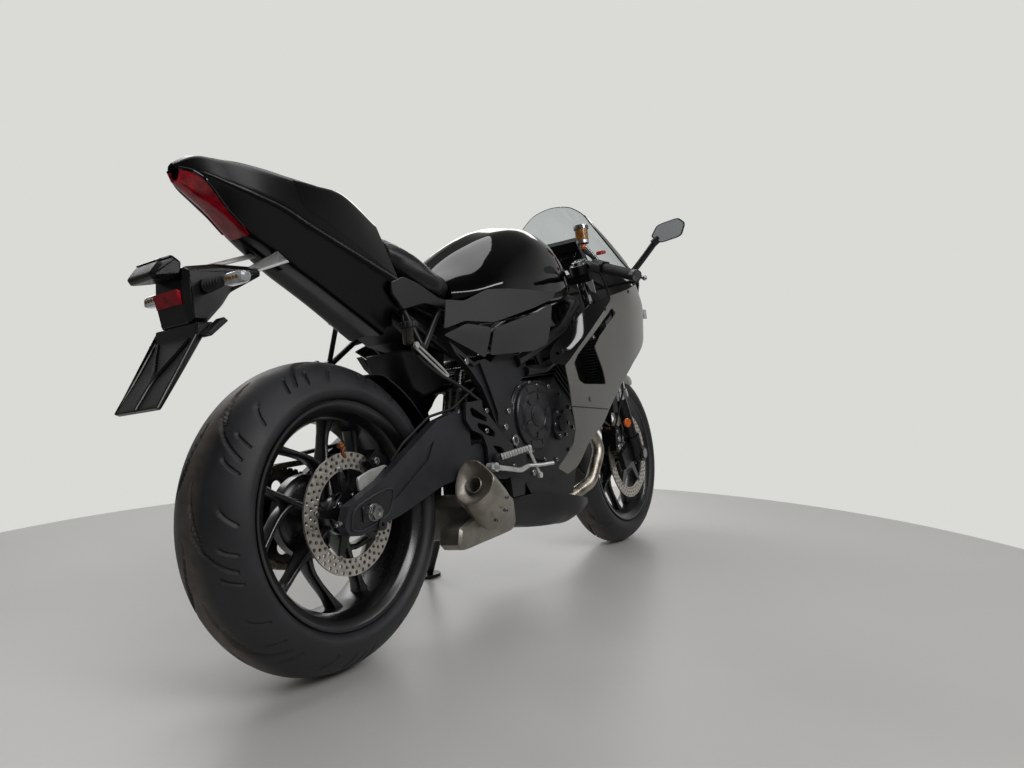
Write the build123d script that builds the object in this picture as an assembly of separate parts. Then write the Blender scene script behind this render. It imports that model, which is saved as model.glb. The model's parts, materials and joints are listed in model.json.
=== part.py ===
from build123d import *
import math
import os

os.makedirs("parts", exist_ok=True)

# Sport bike, in millimetres.  It is modelled upright: X forward, Y to the
# rider's left, Z up, with the ground at Z = 0 and the rear axle above X = 0.
# PLACE at the end leans it on its side stand and centres it on the ground.

# ------------------------------------------------------------ main sizes
WHEELBASE = 1395.0
LEAN_DEG = 7.44              # lean on the side stand
RAKE_DEG = 23.67
STEER_FOOT_X = 1485.0        # where the steering axis meets the ground
FORK_OFFSET = 32.0           # fork tubes ahead of the steering axis
FORK_HALF_TRACK = 105.0

FRONT_R = 300.0
FRONT_TYRE_W = 120.0
FRONT_RIM_W = 108.0
REAR_R = 315.0
REAR_TYRE_W = 180.0
REAR_RIM_W = 158.0
BEAD_R = 215.9               # 17 inch bead seat
FLANGE_H = 12.0
TYRE_GAP = 0.3               # tyre to rim

AXLE_R = 10.0
FRONT_AXLE_R = 11.0
RUN_FIT = 0.06               # hub on its axle, radial
BODY_GAP = 0.5               # between neighbouring panels
PANEL_WALL = 3.0

FRONT_DISC_R = 149.0
FRONT_DISC_Y = 66.8
REAR_DISC_R = 122.5
REAR_DISC_Y = 80.0
DISC_T = 4.5

CHAIN_PITCH = 15.875
REAR_TEETH = 42
FRONT_TEETH = 16
CHAIN_Y = 105.0
SPROCKET_T = 6.0
ROLLER_R = 5.0
CHAIN_GAP = 0.4              # rollers above the tooth tips
FRONT_SPROCKET = (640.0, 400.0)   # x, z of the output shaft
PIVOT = (545.0, 404.0)            # x, z of the swingarm pivot
CRANK = (800.0, 440.0)            # x, z of the crankshaft
CLUTCH = (646.0, 469.0)           # x, z of the clutch
CLUTCH_R = 97.0
CYL_TILT_DEG = 40.0               # cylinders lean forward from upright

ARM_IN = 119.0               # inner face of each swingarm beam
ARM_OUT = 141.0
PLATE_IN = 127.0             # frame pivot plates
PLATE_OUT = 145.0
CASE_HALF = 122.0            # crankcase half width

SR = math.sin(math.radians(RAKE_DEG))
CR = math.cos(math.radians(RAKE_DEG))
FRONT_AXLE = (WHEELBASE, 0.0, FRONT_R)
REAR_AXLE = (0.0, 0.0, REAR_R)
# the steering frame: local X ahead of the axis, Y left, Z up the axis
STEER = Plane(origin=(STEER_FOOT_X, 0, 0), x_dir=(CR, 0, SR), z_dir=(-SR, 0, CR))
AXLE_S = (STEER_FOOT_X - WHEELBASE) * SR + FRONT_R * CR
AXLE_F = (WHEELBASE - STEER_FOOT_X) * CR + FRONT_R * SR

NODES = {}


# ------------------------------------------------------------ helpers
def prism(points, y0, y1):
    """Side-view outline (x, z) made solid between two Y values."""
    face = make_face(Polyline(*[(x, 0, z) for x, z in points], close=True))
    return extrude(Pos(0, y0, 0) * face, y1 - y0, dir=(0, 1, 0))


def both(shape):
    """A piece and its mirror image on the other side of the bike."""
    return shape + mirror(shape, about=Plane.XZ)


def rod(points, radii, r):
    """Round bar along a polyline with rounded corners."""
    path = FilletPolyline(*points, radius=radii) if radii else Polyline(*points)
    start = Plane(origin=path @ 0, z_dir=path % 0)
    return sweep(start * Circle(r), path=path)


def bar(a, b, r, r2=None):
    """Straight round bar, or cone, from point a to point b."""
    a, b = Vector(*a), Vector(*b)
    d = b - a
    place = Plane(origin=a, z_dir=d)
    if r2 is None:
        return place.location * Cylinder(r, d.length, align=(Align.CENTER, Align.CENTER, Align.MIN))
    return place.location * Cone(r, r2, d.length, align=(Align.CENTER, Align.CENTER, Align.MIN))


def y_disc(x, z, r, y0, y1):
    """Round slab on an axis along Y."""
    return bar((x, y0, z), (x, y1, z), r)


def offset_line(pts, d):
    """Open polyline moved d to the right of its run, corners mitred."""
    out = []
    n = len(pts)
    for i in range(n):
        ns = []
        for a, b in ((i - 1, i), (i, i + 1)):
            if a < 0 or b >= n:
                continue
            ux, uy = pts[b][0] - pts[a][0], pts[b][1] - pts[a][1]
            m = math.hypot(ux, uy)
            ns.append((uy / m, -ux / m))
        nx = sum(v[0] for v in ns) / len(ns)
        ny = sum(v[1] for v in ns) / len(ns)
        k = max(nx * nx + ny * ny, 0.3)
        out.append((pts[i][0] + d * nx / k, pts[i][1] + d * ny / k))
    return out


def section(x, yz):
    """Closed polygon across the bike at x from (y, z) points."""
    return make_face(Polyline(*[(x, y, z) for y, z in yz], close=True))


def skin(table, wall):
    """Open panel on the left: lofted from (x, [(y, z) top to bottom]) rows."""
    rows = []
    for x, pts in table:
        inner = offset_line(pts, wall)
        rows.append(section(x, pts + inner[::-1]))
    return loft(rows)


def closed(table, flat=False):
    """Closed body: each row is (x, [(y, z) top centre to bottom centre]); flat keeps straight sides."""
    rows = []
    for x, pts in table:
        left = [(y, z) for y, z in pts]
        right = [(-y, z) for y, z in reversed(pts) if y > 0.01]
        rows.append(section(x, left + right))
    return loft(rows, ruled=flat)


def skin_y(table, x, z):
    """Side distance of a panel's middle at (x, z), read off its table."""
    def at(row):
        pts = row[1]
        for (ya, za), (yb, zb) in zip(pts, pts[1:]):
            if zb <= z <= za:
                return ya + (yb - ya) * (za - z) / (za - zb)
        return pts[0][0] if z > pts[0][1] else pts[-1][0]
    for a, b in zip(table, table[1:]):
        if a[0] <= x <= b[0]:
            t = (x - a[0]) / (b[0] - a[0])
            return at(a) * (1 - t) + at(b) * t - PANEL_WALL / 2
    return at(table[0]) - PANEL_WALL / 2


# ------------------------------------------------------------ wheels
def tyre(radius, width, rim_w):
    """Round-crowned tyre: crown arc, sidewall arcs, beads on the rim."""
    shoulder = radius - width * 0.30
    half = width / 2
    bead = BEAD_R + FLANGE_H + 2.0
    seat = BEAD_R + TYRE_GAP
    foot = rim_w / 2 - 7.0
    crown = ThreePointArc((shoulder, -half * 0.97), (radius, 0), (shoulder, half * 0.97))
    toe = rim_w / 2 - 6.5
    left = ThreePointArc((shoulder, half * 0.97), (shoulder - 16, half), (bead, toe))
    right = ThreePointArc((bead, -toe), (shoulder - 16, -half), (shoulder, -half * 0.97))
    base = Polyline((bead, toe), (seat, foot), (seat, -foot), (bead, -toe))
    return revolve(make_face(crown + left + base + right), Axis.Y)


def rim(width, hub_r, hub_half, bore_r, spoke_half):
    """Cast rim: dropped-centre barrel, hub and five forked spokes."""
    hw = width / 2
    seat, flange = BEAD_R, BEAD_R + FLANGE_H
    outer = [(flange, -hw), (flange, -hw + 5), (seat, -hw + 6), (seat - 3, -hw + 24),
             (seat - 17, -hw + 36), (seat - 17, hw - 36), (seat - 3, hw - 24),
             (seat, hw - 6), (flange, hw - 5), (flange, hw)]
    inner = [(flange - 9, hw), (seat - 9, hw - 8), (seat - 24, hw - 34),
             (seat - 24, -hw + 34), (seat - 9, -hw + 8), (flange - 9, -hw)]
    barrel = revolve(make_face(Polyline(*outer, *inner, close=True)), Axis.Y)
    legs = None
    for k in range(5):
        for lean in (-1, 1):
            a0 = math.radians(72 * k + 90 + lean * 8.0)
            a1 = math.radians(72 * k + 90 + lean * 15.5)
            p0 = (hub_r * 0.8 * math.cos(a0), hub_r * 0.8 * math.sin(a0))
            p1 = ((seat - 20) * math.cos(a1), (seat - 20) * math.sin(a1))
            ux, uz = p1[0] - p0[0], p1[1] - p0[1]
            m = math.hypot(ux, uz)
            nx, nz = -uz / m, ux / m
            row = [(0.0, 9.0), (0.45, 6.5), (0.82, 7.5), (1.0, 15.0)]
            side_a = [(p0[0] + ux * t + nx * w, p0[1] + uz * t + nz * w) for t, w in row]
            side_b = [(p0[0] + ux * t - nx * w, p0[1] + uz * t - nz * w) for t, w in row[::-1]]
            leg = prism(side_a + side_b, -hub_half, hub_half)
            legs = leg if legs is None else legs + leg
    body = [(hub_r * 0.5, -hub_half * 0.9), (hub_r + 20, -hub_half * 0.72), (seat - 60, -spoke_half),
            (seat - 19, -spoke_half * 0.8), (seat - 19, spoke_half * 0.8), (seat - 60, spoke_half),
            (hub_r + 20, hub_half * 0.72), (hub_r * 0.5, hub_half * 0.9)]
    legs = legs & revolve(make_face(Polyline(*body, close=True)), Axis.Y)
    hub = y_disc(0, 0, hub_r, -hub_half, hub_half)
    return barrel + legs + hub - y_disc(0, 0, bore_r, -hub_half - 1, hub_half + 1)


def disc(radius, hole_n, carrier_r, bore_r):
    """Brake disc: drilled ring on a five-armed carrier, axis along Y."""
    ring = y_disc(0, 0, radius, -DISC_T / 2, DISC_T / 2) - y_disc(0, 0, radius - 34, -9, 9)
    for k in range(hole_n):
        a = 2 * math.pi * k / hole_n
        ring = ring - y_disc((radius - 17) * math.cos(a), (radius - 17) * math.sin(a), 6, -9, 9)
    hub = y_disc(0, 0, carrier_r, -4, 4)
    for k in range(5):
        a = 72 * k
        arm = prism([(carrier_r - 8, -13), (radius - 30, -9), (radius - 30, 9), (carrier_r - 8, 13)], -2.2, 2.2)
        hub = hub + Rot(Y=-a) * arm
    return ring + hub - y_disc(0, 0, bore_r, -9, 9)


HUB_HALF_F = 55.0
HUB_HALF_R = 62.0
HUB_R_F = 30.0
HUB_R_R = 42.0
at_front = Pos(*FRONT_AXLE)
at_rear = Pos(*REAR_AXLE)
NODES["front_tyre"] = at_front * tyre(FRONT_R, FRONT_TYRE_W, FRONT_RIM_W)
NODES["rear_tyre"] = at_rear * tyre(REAR_R, REAR_TYRE_W, REAR_RIM_W)
NODES["front_rim"] = at_front * rim(FRONT_RIM_W, HUB_R_F, HUB_HALF_F, FRONT_AXLE_R + RUN_FIT, 18.0)
NODES["rear_rim"] = at_rear * rim(REAR_RIM_W, HUB_R_R, HUB_HALF_R, AXLE_R + RUN_FIT, 22.0)

front_disc = disc(FRONT_DISC_R, 10, 50, 22)
NODES["front_discs"] = at_front * both(Pos(0, FRONT_DISC_Y, 0) * front_disc
                                       + y_disc(0, 0, 28, HUB_HALF_F, FRONT_DISC_Y + 2) - y_disc(0, 0, 22, 0, 90))
rear_disc = disc(REAR_DISC_R, 10, 44, 20)
NODES["rear_disc"] = at_rear * (Pos(0, -REAR_DISC_Y, 0) * rear_disc
                                + y_disc(0, 0, 36, -REAR_DISC_Y, -HUB_HALF_R) - y_disc(0, 0, 20, -90, 0))

# ------------------------------------------------------------ final drive
pitch_r = CHAIN_PITCH / (2 * math.sin(math.pi / REAR_TEETH))
pitch_f = CHAIN_PITCH / (2 * math.sin(math.pi / FRONT_TEETH))
ROLLER_FLAT = ROLLER_R * math.cos(math.radians(30))
TIP_R = pitch_r - ROLLER_FLAT - CHAIN_GAP


def sprocket(teeth, root_r, tip_r, bore_r):
    """Toothed plate, axis along Y."""
    pts = []
    for k in range(teeth):
        for f, r in ((-0.20, tip_r), (0.20, tip_r), (0.5, root_r)):
            a = 2 * math.pi * (k + f) / teeth
            pts.append((r * math.cos(a), r * math.sin(a)))
    return prism(pts, -SPROCKET_T / 2, SPROCKET_T / 2) - y_disc(0, 0, bore_r, -20, 20)


wheel_sprocket = sprocket(REAR_TEETH, TIP_R - 6, TIP_R, 30)
for k in range(5):
    a = math.radians(72 * k + 36)
    wheel_sprocket = wheel_sprocket - y_disc(66 * math.cos(a), 66 * math.sin(a), 15, -9, 9)
carrier = y_disc(0, 0, 52, HUB_HALF_R, CHAIN_Y - SPROCKET_T / 2) - y_disc(0, 0, 30, 0, CHAIN_Y + 9)
NODES["rear_sprocket"] = at_rear * (Pos(0, CHAIN_Y, 0) * wheel_sprocket + carrier)

# the loop runs round both pitch circles on the outer tangents
dx, dz = FRONT_SPROCKET[0], FRONT_SPROCKET[1] - REAR_R
span = math.hypot(dx, dz)
tilt = math.atan2(dz, dx)
wrap = math.asin((pitch_r - pitch_f) / span)


def loop_point(s):
    """Point and heading on the chain loop, s from 0 at the top rear tangent."""
    run = span * math.cos(wrap)
    front_arc = pitch_f * (math.pi - 2 * wrap)
    rear_arc = pitch_r * (math.pi + 2 * wrap)
    top_a = tilt + math.pi / 2 - wrap
    low_a = tilt - math.pi / 2 + wrap
    if s < run:
        c = (pitch_r * math.cos(top_a), REAR_R + pitch_r * math.sin(top_a))
        h = top_a - math.pi / 2
        return c[0] + s * math.cos(h), c[1] + s * math.sin(h), h
    s -= run
    if s < front_arc:
        a = top_a - s / pitch_f
        return (FRONT_SPROCKET[0] + pitch_f * math.cos(a),
                FRONT_SPROCKET[1] + pitch_f * math.sin(a), a - math.pi / 2)
    s -= front_arc
    if s < run:
        c = (FRONT_SPROCKET[0] + pitch_f * math.cos(low_a), FRONT_SPROCKET[1] + pitch_f * math.sin(low_a))
        h = low_a - math.pi / 2
        return c[0] + s * math.cos(h), c[1] + s * math.sin(h), h
    s -= run
    a = low_a - s / pitch_r
    return pitch_r * math.cos(a), REAR_R + pitch_r * math.sin(a), a - math.pi / 2


loop_len = (2 * span * math.cos(wrap) + pitch_f * (math.pi - 2 * wrap) + pitch_r * (math.pi + 2 * wrap))
LINKS = int(round(loop_len / CHAIN_PITCH))
step = loop_len / LINKS
CHAIN_H = 6.0                # half height of a link plate
CHAIN_HALF = 8.5             # half width over the plates
PLATE_T = 2.6


def band(grow, y0, y1):
    """Slab with the loop's outline moved out by grow."""
    hull = (make_hull((Pos(0, REAR_R) * Circle(pitch_r + grow)).edges()
                      + (Pos(*FRONT_SPROCKET) * Circle(pitch_f + grow)).edges()))
    flat = Plane.XZ * hull
    return extrude(Pos(0, y1, 0) * flat, y1 - y0)


plate = band(CHAIN_H, CHAIN_HALF - PLATE_T, CHAIN_HALF) - band(-CHAIN_H, CHAIN_HALF - PLATE_T - 1, CHAIN_HALF + 1)
links = both(plate)
pins = []
for k in range(LINKS):
    x, z, h = loop_point((k + 0.5) * step)
    hexagon = [(x + ROLLER_R * math.cos(h + math.radians(60 * j)),
                z + ROLLER_R * math.sin(h + math.radians(60 * j))) for j in range(6)]
    pins.append(prism(hexagon, -CHAIN_HALF + PLATE_T / 2, CHAIN_HALF - PLATE_T / 2))
NODES["chain"] = Pos(0, CHAIN_Y, 0) * links.fuse(*pins)

# ------------------------------------------------------------ swingarm
arm = prism([(-78, 300), (-62, 336), (42, 377), (232, 482), (300, 498), (336, 488), (352, 462), (352, 372),
             (340, 348), (232, 338), (81, 296), (-38, 276), (-66, 280)], ARM_IN, ARM_OUT)
arm = arm - prism([(60, 350), (215, 438), (190, 400), (70, 330)], ARM_OUT - 4, ARM_OUT + 1)
slot = prism([(-26, REAR_R - AXLE_R), (26, REAR_R - AXLE_R), (26, REAR_R + AXLE_R), (-26, REAR_R + AXLE_R)],
             ARM_IN - 1, ARM_OUT + 1)
SPOOL = (20.0, 288.0)         # x, z of the stand spool holes
SPOOL_HOLE_R = 4.0
arm = arm + y_disc(*SPOOL, 12, ARM_IN + 6, ARM_OUT + 6)
arm = arm - slot - y_disc(*SPOOL, SPOOL_HOLE_R, ARM_OUT - 16, ARM_OUT + 10)
lug = prism([(380, 362), (PIVOT[0], PIVOT[1] - 27), (PIVOT[0] + 27, PIVOT[1]), (PIVOT[0], PIVOT[1] + 27),
             (380, 424)], 96, PLATE_IN - 3)
lug = lug - prism([(300, 414), (600, 424), (600, 460), (300, 460)], CHAIN_Y - 14, CHAIN_Y + 14)
swingarm = both(arm + lug)
swingarm = swingarm + prism([(336, 352), (440, 352), (466, 384), (452, 418), (380, 418), (336, 410)], -ARM_OUT + 2, ARM_OUT - 2)
swingarm = swingarm + y_disc(*PIVOT, 21, -PLATE_IN + 3, PLATE_IN - 3)
swingarm = swingarm - y_disc(*PIVOT, AXLE_R + 0.05, -200, 200)
NODES["swingarm"] = swingarm

AXLE_NUT_T = 12.0
axle = y_disc(0, REAR_R, AXLE_R, -ARM_OUT - 4, ARM_OUT + 4)
nut = prism([(16 * math.cos(math.radians(60 * k)), REAR_R + 16 * math.sin(math.radians(60 * k)))
             for k in range(6)], -ARM_OUT - 4 - AXLE_NUT_T, -ARM_OUT - 4)
for side in (-1, 1):
    outer = side * ARM_OUT
    axle = axle + prism([(-30, REAR_R - 17), (24, REAR_R - 17), (24, REAR_R + 17), (-30, REAR_R + 17)],
                        min(outer, outer + side * 4), max(outer, outer + side * 4))
    axle = axle + bar((-24, outer + side * 2, REAR_R), (-92, outer + side * 2, REAR_R), 3.5)
    axle = axle + y_disc(0, REAR_R, 15, *sorted((side * (HUB_HALF_R + 1), side * ARM_IN)))
NODES["rear_axle"] = axle + nut + y_disc(0, REAR_R, 15, ARM_OUT + 4, ARM_OUT + 10) - swingarm
pivot_shaft = y_disc(*PIVOT, AXLE_R, -PLATE_OUT, PLATE_OUT) + both(
    y_disc(*PIVOT, 17, PLATE_OUT, PLATE_OUT + 7))

# ------------------------------------------------------------ frame
COVER_GAP = 4.0              # plates round the clutch cover
plate_pts = [(302, 662), (345, 640), (395, 612), (443, 621), (485, 606), (516, 573), (539, 526), (549, 482),
             (567, 428), (590, 380), (575, 330), (560, 272), (505, 272), (500, 330), (500, 412), (471, 444),
             (446, 500), (429, 530), (418, 552), (375, 596), (325, 632)]
dent_pts = [(326, 636), (395, 604), (420, 612), (436, 579), (455, 537), (476, 486), (472, 452), (430, 533),
            (419, 556), (376, 600)]
web_pts = [(470, 606), (522, 640), (575, 652), (645, 622), (660, 592), (600, 556), (530, 500)]
pivot_plate = prism(plate_pts, PLATE_IN, PLATE_OUT) - prism(dent_pts, PLATE_OUT - 8, PLATE_OUT + 1)
pivot_plate = pivot_plate + prism(web_pts, PLATE_IN, PLATE_IN + 8)
pivot_plate = pivot_plate - y_disc(*CLUTCH, CLUTCH_R + COVER_GAP, PLATE_IN - 1, PLATE_OUT + 1)
pivot_plate = pivot_plate + y_disc(612, 322, 17, PLATE_IN, PLATE_OUT) + prism(
    [(560, 300), (612, 306), (612, 338), (570, 345)], PLATE_IN, PLATE_OUT)
pivot_plate = pivot_plate + y_disc(612, 322, 11, CASE_HALF, PLATE_IN)
NODES["pivot_plates"] = both(pivot_plate)

HEAD_LOW, HEAD_HIGH = 847.0, 953.0      # head tube along the steering axis
STEM_R = 15.0
head = STEER.location * Pos(0, 0, HEAD_LOW) * Cylinder(31, HEAD_HIGH - HEAD_LOW,
                                                       align=(Align.CENTER, Align.CENTER, Align.MIN))
tubes = [
    ([(1132, 18, 852), (1040, 108, 806), (860, 140, 712), (700, 138, 650), (600, 136, 615)], [50, 120, 60], 15),
    ([(1142, 18, 800), (1050, 108, 772), (900, 146, 660), (740, 142, 598), (640, 138, 590)], [50, 60, 60], 13),
    ([(1000, 117, 784), (962, 132, 706)], None, 10),
    ([(800, 139, 688), (830, 144, 636)], None, 10),
    ([(700, 138, 650), (722, 142, 600)], None, 10),
]
frame = head
for pts, radii, r in tubes:
    frame = frame + both(rod(pts, radii, r))
frame = frame + bar((700, -138, 650), (700, 138, 650), 12)
frame = frame - STEER.location * Pos(0, 0, HEAD_LOW - 5) * Cylinder(
    STEM_R + RUN_FIT, 400, align=(Align.CENTER, Align.CENTER, Align.MIN))
NODES["main_frame"] = frame - NODES["pivot_plates"]

sub = [
    ([(560, 116, 640), (400, 98, 725), (240, 80, 770), (-60, 44, 868), (-196, 24, 950)], [120, 200, 120], 11),
    ([(540, 116, 560), (380, 92, 640), (100, 62, 812)], [120], 10),
]
subframe = None
for pts, radii, r in sub:
    t = both(rod(pts, radii, r))
    subframe = t if subframe is None else subframe + t
for x, y, z in ((400, 98, 725), (240, 80, 770), (-60, 44, 870), (-190, 24, 946)):
    subframe = subframe + bar((x, -y, z), (x, y, z), 9)
subframe = subframe + both(bar((560, 112, 640), (560, PLATE_IN, 640), 14) + bar((540, 112, 560), (540, PLATE_IN, 560), 12))
NODES["subframe"] = subframe - NODES["pivot_plates"]
tray_pts = [(206, 746), (206, 706), (256, 676), (430, 640), (530, 640), (556, 690), (556, 732), (380, 734),
            (374, 750), (300, 760)]
NODES["battery_tray"] = prism(tray_pts, -64, 64) - NODES["subframe"]

# ------------------------------------------------------------ engine
crankcase = prism([(604, 300), (650, 236), (860, 236), (905, 320), (930, 420), (880, 520), (745, 566),
                   (612, 556), (596, 500), (592, 440), (604, 380)], -CASE_HALF, CASE_HALF)
crankcase = crankcase + prism([(690, 222), (840, 222), (852, 240), (680, 240)], -80, 80)
crankcase = crankcase + prism([(572, 560), (620, 536), (640, 556), (572, 584)], -100, 100)
crankcase = crankcase + y_disc(572, 570, 13, -PLATE_IN, PLATE_IN)
crankcase = crankcase - prism([(560, 332), (704, 332), (704, 474), (560, 474)], CASE_HALF - 34, CASE_HALF + 1)
cyl = Pos(CRANK[0], 0, CRANK[1]) * Rot(Y=CYL_TILT_DEG)
barrel = Pos(0, 0, 60) * Box(134, 230, 130, align=(Align.CENTER, Align.CENTER, Align.MIN))
for k in range(4):
    barrel = barrel + Pos(0, 0, 128 + 15 * k) * Box(146, 242, 5, align=(Align.CENTER, Align.CENTER, Align.MIN))
head_block = Pos(0, 0, 190) * Box(164, 248, 74, align=(Align.CENTER, Align.CENTER, Align.MIN))
cam = Pos(0, 0, 264) * Box(150, 232, 44, align=(Align.CENTER, Align.CENTER, Align.MIN))
cam = chamfer(cam.edges().group_by(Axis.Z)[-1], 14)
tip_f = pitch_f - ROLLER_FLAT - CHAIN_GAP
drive = sprocket(FRONT_TEETH, tip_f - 6, tip_f, 2.0)
drive = Pos(0, CHAIN_Y, 0) * drive + y_disc(0, 0, 12, CASE_HALF - 36, CHAIN_Y + 8)
engine = crankcase + cyl * (barrel + head_block + cam) + Pos(FRONT_SPROCKET[0], 0, FRONT_SPROCKET[1]) * drive
NODES["engine_block"] = engine - NODES["pivot_plates"] - swingarm

# right side: stepped clutch cover over the clutch and the primary drive
step_h = ((CLUTCH_R, 12), (CLUTCH_R - 12, 26), (CLUTCH_R - 34, 32), (30, 36))
cover = prism([(584, 450), (588, 400), (640, 360), (760, 330), (850, 350), (892, 420), (880, 490),
               (800, 540), (640, 562), (585, 540)], -CASE_HALF - 10, -CASE_HALF)
for r, h in step_h:
    cover = cover + y_disc(*CLUTCH, r, -CASE_HALF - h, -CASE_HALF)
cover = cover + y_disc(*CRANK, 46, -CASE_HALF - 20, -CASE_HALF) + y_disc(*CRANK, 22, -CASE_HALF - 26, -CASE_HALF)
for k in range(8):
    a = math.radians(45 * k + 20)
    cover = cover + y_disc(CLUTCH[0] + (CLUTCH_R - 22) * math.cos(a), CLUTCH[1] + (CLUTCH_R - 22) * math.sin(a),
                           6, -CASE_HALF - 31, -CASE_HALF)
cover = cover & prism([(500, 200), (1000, 200), (1000, 700), (500, 700)], -CASE_HALF - 60, -CASE_HALF)
NODES["clutch_cover"] = cover - NODES["pivot_plates"] - y_disc(*PIVOT, 34, -PLATE_IN - 1, 0)
stator = prism([(720, 360), (800, 335), (880, 380), (900, 450), (860, 530), (770, 540), (715, 480)],
               CASE_HALF, CASE_HALF + 10)
for r, h in ((84, 22), (70, 34), (30, 38)):
    stator = stator + y_disc(*CRANK, r, CASE_HALF, CASE_HALF + h)
drive_cover = prism([(606, 340), (700, 330), (706, 420), (700, 480), (640, 500), (604, 470)],
                    CASE_HALF + 1, CASE_HALF + 14)
NODES["left_engine_covers"] = stator + (drive_cover - NODES["pivot_plates"])

# radiator behind the front wheel, with its side tanks and fan
RAD = (1088.0, 575.0)
core = Pos(RAD[0], 0, RAD[1]) * Box(24, 300, 236)
tank_side = Pos(RAD[0], 166, RAD[1]) * Box(32, 32, 244)
fan = y_disc(0, 0, 70, 0, 18)
fan = Pos(RAD[0] - 12, 0, RAD[1]) * Rot(Z=90) * fan
stays = both(bar((RAD[0] - 10, 120, 690), (1012, 114, 790), 6))
NODES["radiator"] = core + both(tank_side) + fan + (stays - NODES["main_frame"])

# ------------------------------------------------------------ exhaust
PIPE_R = 19.0
port = Vector(CRANK[0], 0, CRANK[1]) + Vector(82, 0, 227).rotate(Axis.Y, CYL_TILT_DEG)
header = rod([(port.X, 55, port.Z), (1036, 60, 532), (1034, 95, 430), (1076, 118, 350), (1000, 112, 250),
              (880, 60, 198), (770, 24, 198)], [35, 80, 50, 70, 80], PIPE_R)
headers = both(header) + bar((790, 0, 198), (700, -6, 203), 34, 24)
headers = headers + rod([(705, -6, 203), (660, -10, 210), (560, -22, 238), (490, -30, 250)], [60, 80], 21)
NODES["exhaust_headers"] = headers - NODES["engine_block"]

box_low = [(244, 204), (260, 186), (470, 196), (488, 214), (488, 276), (440, 296), (330, 262), (256, 238)]
silencer = prism(box_low, -160, -97)
silencer = silencer + prism([(352, 190), (470, 196), (488, 214), (488, 276), (440, 296), (360, 272)], -98, 70)
PIPE_BORE_R = 18.0
TIP_AXIS = ((470.0, -174.0, 246.0), (272.0, -198.0, 329.0))
tip_in = Plane(origin=TIP_AXIS[0], z_dir=Vector(*TIP_AXIS[1]) - Vector(*TIP_AXIS[0]), x_dir=(0, 1, 0))
tip_len = (Vector(*TIP_AXIS[1]) - Vector(*TIP_AXIS[0])).length


def tri(r, corner):
    """Triangle with rounded corners, one point up."""
    return Rot(Z=90) * fillet(RegularPolygon(r, 3).vertices(), corner)


tip = loft([tip_in * tri(54, 22), tip_in.offset(tip_len) * tri(82, 28)])
tip = tip - loft([tip_in.offset(tip_len - 62) * tri(48, 18), tip_in.offset(tip_len + 1) * tri(76, 26)])
tip = tip - (tip_in.offset(tip_len - 150).location * Cylinder(PIPE_BORE_R, 130, align=(
    Align.CENTER, Align.CENTER, Align.MIN)))
tip = tip + tip_in.offset(tip_len - 64) * extrude(Circle(PIPE_BORE_R + 3) - Circle(PIPE_BORE_R), 26)
tip = tip & prism([(200, 100), (600, 100), (600, 500), (200, 500)], -240, -ARM_OUT - 4)
NODES["exhaust_silencer"] = silencer + tip - NODES["exhaust_headers"]

# ------------------------------------------------------------ tank, seat, tail
TANK = [
    (386, [(0, 858), (45, 852), (86, 828), (106, 800), (108, 770), (90, 740), (0, 740)]),
    (450, [(0, 900), (50, 886), (100, 846), (128, 808), (130, 775), (110, 740), (0, 740)]),
    (540, [(0, 952), (66, 930), (124, 876), (150, 826), (148, 785), (118, 740), (0, 740)]),
    (650, [(0, 1002), (84, 976), (140, 916), (160, 842), (152, 790), (112, 740), (0, 740)]),
    (800, [(0, 1032), (90, 1010), (143, 954), (160, 862), (150, 800), (100, 760), (0, 760)]),
    (930, [(0, 1014), (82, 990), (128, 933), (146, 856), (134, 810), (84, 790), (0, 790)]),
    (1010, [(0, 972), (58, 953), (98, 904), (118, 863), (100, 830), (70, 815), (0, 815)]),
]
tank = closed(TANK)
CAP = (830.0, 1022.0)
CAP_R = 34.0
NODES["tank_cap"] = Pos(CAP[0], 0, CAP[1]) * Cylinder(CAP_R, 26)
NODES["fuel_tank"] = tank - NODES["tank_cap"]

SEAT = [
    (192, [(0, 925), (46, 920), (80, 898), (92, 872), (84, 848), (0, 848)]),
    (250, [(0, 890), (60, 886), (106, 866), (116, 842), (104, 802), (0, 802)]),
    (320, [(0, 856), (70, 853), (120, 836), (132, 810), (118, 772), (0, 772)]),
    (385.7, [(0, 848), (60, 844), (100, 824), (108, 798), (96, 766), (0, 766)]),
]
NODES["rider_seat"] = closed(SEAT)

TAIL_FORM = [
    (-276, [(0, 988), (9, 984), (13, 972), (9, 957), (0, 956)]),
    (-245, [(0, 1008), (24, 1001), (42, 966), (12, 939), (0, 938)]),
    (-200, [(0, 1014), (38, 1002), (64, 948), (18, 914), (0, 913)]),
    (-150, [(0, 1018), (46, 1003), (82, 930), (28, 876), (0, 876)]),
    (-100, [(0, 1019), (52, 1000), (92, 913), (36, 846), (0, 848)]),
    (-50, [(0, 1018), (58, 994), (99, 888), (41, 816), (0, 820)]),
    (20, [(0, 1016), (60, 990), (104, 860), (44, 779), (0, 784)]),
    (100, [(0, 1010), (56, 988), (108, 830), (48, 734), (0, 740)]),
    (186, [(0, 966), (60, 938), (114, 796), (52, 684), (0, 692)]),
]


def inside(table, wall, grow):
    """The same form inside its wall, run on by grow at the front end."""
    rows = []
    for x, pts in table:
        line = offset_line(pts, wall)
        line[0] = (0, line[0][1])
        line[-1] = (0, line[-1][1])
        rows.append([x, line])
    rows[0][0] += wall
    rows[-1][0] += grow
    return closed(rows, True)


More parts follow.
